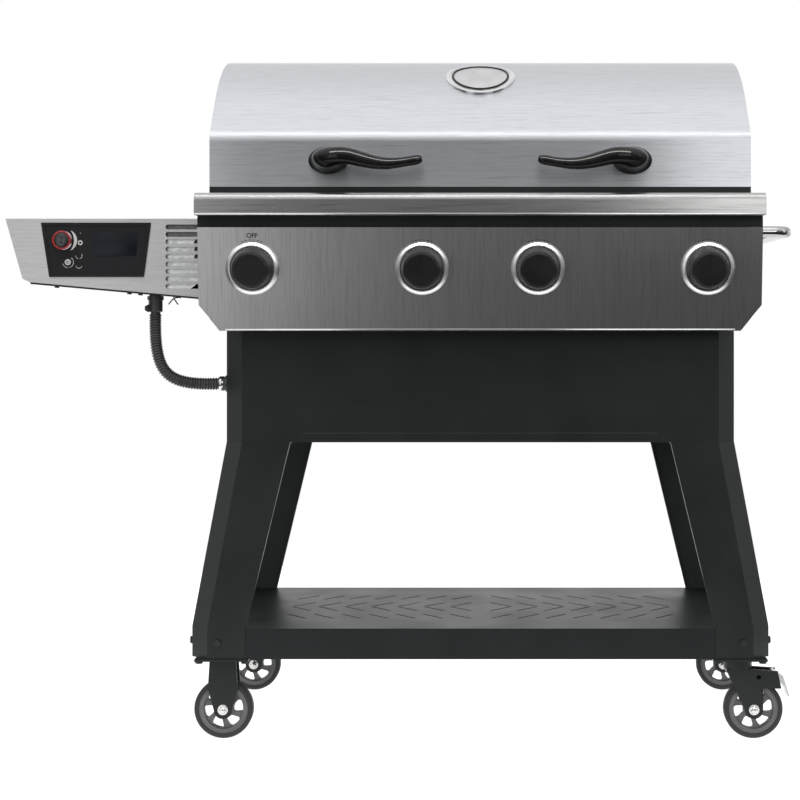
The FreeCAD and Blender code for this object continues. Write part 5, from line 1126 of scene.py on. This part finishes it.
class GRILL_OT_baffles(bpy.types.Operator):
    """Baffle plates behind the louvre slots, made bright as painted light and cut where that light ends, a
    dark one over them as painted shade, and dark stays in front
    """
    bl_idname = "grill.baffles"
    bl_label = "Louvre baffles"

    def execute(self, context):
        left, right, inner = BAFFLE_LEFT, BAFFLE_RIGHT, BAFFLE_INNER
        top = louvre_level(1) - BAFFLE_TOP_DROP
        middle = louvre_level(4)
        low = louvre_level(8) - BAFFLE_LOW_DROP
        upper = ((left, middle), (right, middle), (right, top), (left, top))
        lower = ((left, low), (BAFFLE_CUT, low), (inner, louvre_level(7)), (inner, middle), (left, middle))
        # Painted light: the baffles are a zinc made 1.45 times lighter, and the lower one is cut along a
        # slant where the lit part of the slots ends.
        plates = [behind_louvres(outline, BAFFLE_SHEET) for outline in (upper, lower)]
        stays = [self.stay(louvre_level(index)) for index in (2, 3, 4)]
        settle(joined(plates), "louvre_baffles", galvanised("baffle_zinc_painted_light", level=1.45), "cart")
        # Painted shade: a zinc darkened to 0.3 times, as a plate behind the top slots, which stands for the
        # shade there.
        over = ((left, top), (inner, top), (inner, LOUVRE_TOP), (left, LOUVRE_TOP))
        shade = behind_louvres(over, BAFFLE_SHEET)
        settle(shade, "louvre_painted_shade", galvanised("baffle_painted_shade", level=0.3), "cart")
        settle(joined(stays), "louvre_stays", powder_coat("stay_black", colours().cart_black), "cart")
        return {"FINISHED"}

    @staticmethod
    def stay(z):
        """Small dark stay that stands on a bar."""
        head = z + STAY_HEIGHT
        outline = ((STAY_FOOT[0], z), (STAY_FOOT[1], z), (STAY_HEAD[1], head), (STAY_HEAD[0], head))
        return behind_louvres(outline, STAY_SHEET, BAFFLE_SHEET)


PIN_DEPTH = -0.196
PIN_WIRE = 0.0011
PIN_LONG_LEG = ((-0.5150, 0.7515), (-0.5230, 0.7520), (-0.5290, 0.7490), (-0.5330, 0.7440), (-0.5365, 0.7400))
PIN_SHORT_LEG = ((-0.5275, 0.7570), (-0.5275, 0.7500), (-0.5230, 0.7440), (-0.5200, 0.7395))
CLAMP_SPOT = (-0.5690, -0.2050, 0.7330)
CLAMP_NUT_PROFILE = ((0.0062, 0.0), (0.0066, 0.0006), (0.0066, 0.0054), (0.0060, 0.0060))
CLAMP_BOLT_PROFILE = ((0.0030, 0.0), (0.0030, 0.0085), (0.0024, 0.0092))
COLLAR_SPOT = (-0.4485, -0.200, 0.604)
COLLAR_PROFILE = ((0.0116, 0.0), (0.0126, 0.0008), (0.0126, 0.0076), (0.0116, 0.0084))


class GRILL_OT_hopper_hardware(bpy.types.Operator):
    """Split pin under the hopper, the clamp on the hose's gland and the collar on its lower end"""
    bl_idname = "grill.hopper_hardware"
    bl_label = "Hopper hardware"

    def execute(self, context):
        black = powder_coat("hardware_black", scaled(colours().cart_black, 1.5), gloss=(0.28, 0.38))
        legs = []
        for leg in (PIN_LONG_LEG, PIN_SHORT_LEG):
            legs.append(wire([spot(x, PIN_DEPTH, z) for x, z in leg], PIN_WIRE))
        settle(joined(legs), "split_pin", black, "cart", smooth=50.0)
        nut = turned(CLAMP_NUT_PROFILE, spot(*CLAMP_SPOT), FRONT, sides=6)
        bolt = turned(CLAMP_BOLT_PROFILE, spot(*CLAMP_SPOT), FRONT, sides=20)
        settle(joined((nut, bolt)), "gland_clamp", black, "cart", smooth=20.0)
        zinc = polished_metal("collar_zinc", (0.70, 0.70, 0.70), shine=(0.15, 0.25))
        collar = turned(COLLAR_PROFILE, spot(*COLLAR_SPOT), (1.0, 0.0, 0.0), sides=24)
        settle(collar, "hose_collar", zinc, "cart", smooth=60.0)
        return {"FINISHED"}


LEDGE_HEM = ((-0.4672, -0.3662, 0.8846), (0.4672, -0.3645, 0.8878))
APRON_FOLD = ((-0.300, -0.2507, 0.5205), (0.300, -0.2495, 0.5225))
PANEL_HEM_HALF = 0.4235
PANEL_HEM_LOW = 0.6952
PANEL_HEM_MIDDLE = 0.6972
PANEL_HEM_HIGH = 0.6986
PANEL_HEM_PROUD = 0.0008
PANEL_HEM_SUNK = 0.0016


class GRILL_OT_hems(bpy.types.Operator):
    """Rolled hems of the ledge and the panel, and the fold line of the apron, in lighter colours as painted
    highlights along them
    """
    bl_idname = "grill.hems"
    bl_label = "Hems"

    def execute(self, context):
        # Painted highlights: the hems get a steel lighter than the panel's and the ledge's, and the apron's
        # fold a black 1.8 times lighter than the cart's, so each shows as a bright line.
        steel = brushed_steel("hem_steel_painted_highlight", "x", shine=(0.16, 0.26), level=(1.15, 1.15, 1.14))
        black = powder_coat("fold_black_painted_highlight", scaled(colours().cart_black, 1.8), gloss=(0.30, 0.40))
        settle(strip(*LEDGE_HEM, edge=0.0007), "ledge_hem", steel, "cart")
        depth = panel_depth(PANEL_HEM_MIDDLE)
        low = (-PANEL_HEM_HALF, depth - PANEL_HEM_PROUD, PANEL_HEM_LOW)
        high = (PANEL_HEM_HALF, depth + PANEL_HEM_SUNK, PANEL_HEM_HIGH)
        settle(strip(low, high, edge=0.0006), "panel_hem", steel, "cart")
        settle(strip(*APRON_FOLD, edge=0.0004), "apron_fold", black, "cart")
        return {"FINISHED"}


WHEEL_CENTRES = {
    "front_left": (-0.438, -0.215, "cart"),
    "rear_left": (-0.438, 0.215, "cart"),
    "front_right": (0.4655, -0.215, "swivel_front"),
    "rear_right": (0.4655, 0.215, "swivel_rear"),
}
AXLE_HEIGHT = 0.050
FORK_FACE = 0.0185
WASHER_PROFILE = ((0.0086, 0.0), (0.0088, 0.0003), (0.0088, 0.0010), (0.0084, 0.0013))
NUT_PROFILE = ((0.0074, 0.0012), (0.0076, 0.0018), (0.0076, 0.0058), (0.0066, 0.0066))
DOME_PROFILE = ((0.0058, 0.0064), (0.0052, 0.0084), (0.0036, 0.0098), (0.0012, 0.0103))
NUT_PARTS = ((WASHER_PROFILE, 48), (NUT_PROFILE, 6), (DOME_PROFILE, 24))


class GRILL_OT_axle_nuts(bpy.types.Operator):
    """Zinc dome nuts with washers on the ends of the wheel axles"""
    bl_idname = "grill.axle_nuts"
    bl_label = "Axle nuts"

    def execute(self, context):
        zinc = polished_metal("axle_zinc", (0.72, 0.72, 0.70), shine=(0.16, 0.26))
        for name, (x, y, body) in WHEEL_CENTRES.items():
            nuts = []
            for side in (-1.0, 1.0):
                face = spot(x, y + side * FORK_FACE, AXLE_HEIGHT)
                for profile, sides in NUT_PARTS:
                    nuts.append(turned(profile, face, (0.0, side, 0.0), sides))
            settle(joined(nuts), "axle_nuts_" + name, zinc, body, smooth=25.0)
        return {"FINISHED"}


OPERATORS = (
    GRILL_OT_finishes,
    GRILL_OT_hose,
    GRILL_OT_panel_marks,
    GRILL_OT_control_head,
    GRILL_OT_dial,
    GRILL_OT_badge,
    GRILL_OT_baffles,
    GRILL_OT_hopper_hardware,
    GRILL_OT_hems,
    GRILL_OT_axle_nuts,
    GRILL_OT_stage,
)


class GRILL_PT_panel(bpy.types.Panel):
    """Colours and sizes of the dressing, and a button for every step"""
    bl_label = "Pellet grill"
    bl_space_type = "VIEW_3D"
    bl_region_type = "UI"
    bl_category = "Grill"

    def draw(self, context):
        for group in (colours(), sizes()):
            for name in type(group).__annotations__:
                self.layout.prop(group, name)
        for operator in OPERATORS:
            self.layout.operator(operator.bl_idname)


CLASSES = (GrillColours, GrillSizes, *OPERATORS, GRILL_PT_panel)


def register():
    for kind in CLASSES:
        bpy.utils.register_class(kind)
    bpy.types.Scene.grill_colours = PointerProperty(type=GrillColours)
    bpy.types.Scene.grill_sizes = PointerProperty(type=GrillSizes)


def unregister():
    del bpy.types.Scene.grill_sizes
    del bpy.types.Scene.grill_colours
    for kind in reversed(CLASSES):
        bpy.utils.unregister_class(kind)


def main():
    register()
    bpy.ops.grill.finishes()
    bpy.ops.grill.hose()
    bpy.ops.grill.panel_marks()
    bpy.ops.grill.control_head()
    bpy.ops.grill.dial()
    bpy.ops.grill.badge()
    bpy.ops.grill.baffles()
    bpy.ops.grill.hopper_hardware()
    bpy.ops.grill.hems()
    bpy.ops.grill.axle_nuts()
    bpy.ops.grill.stage()


if __name__ == "__main__":
    main()
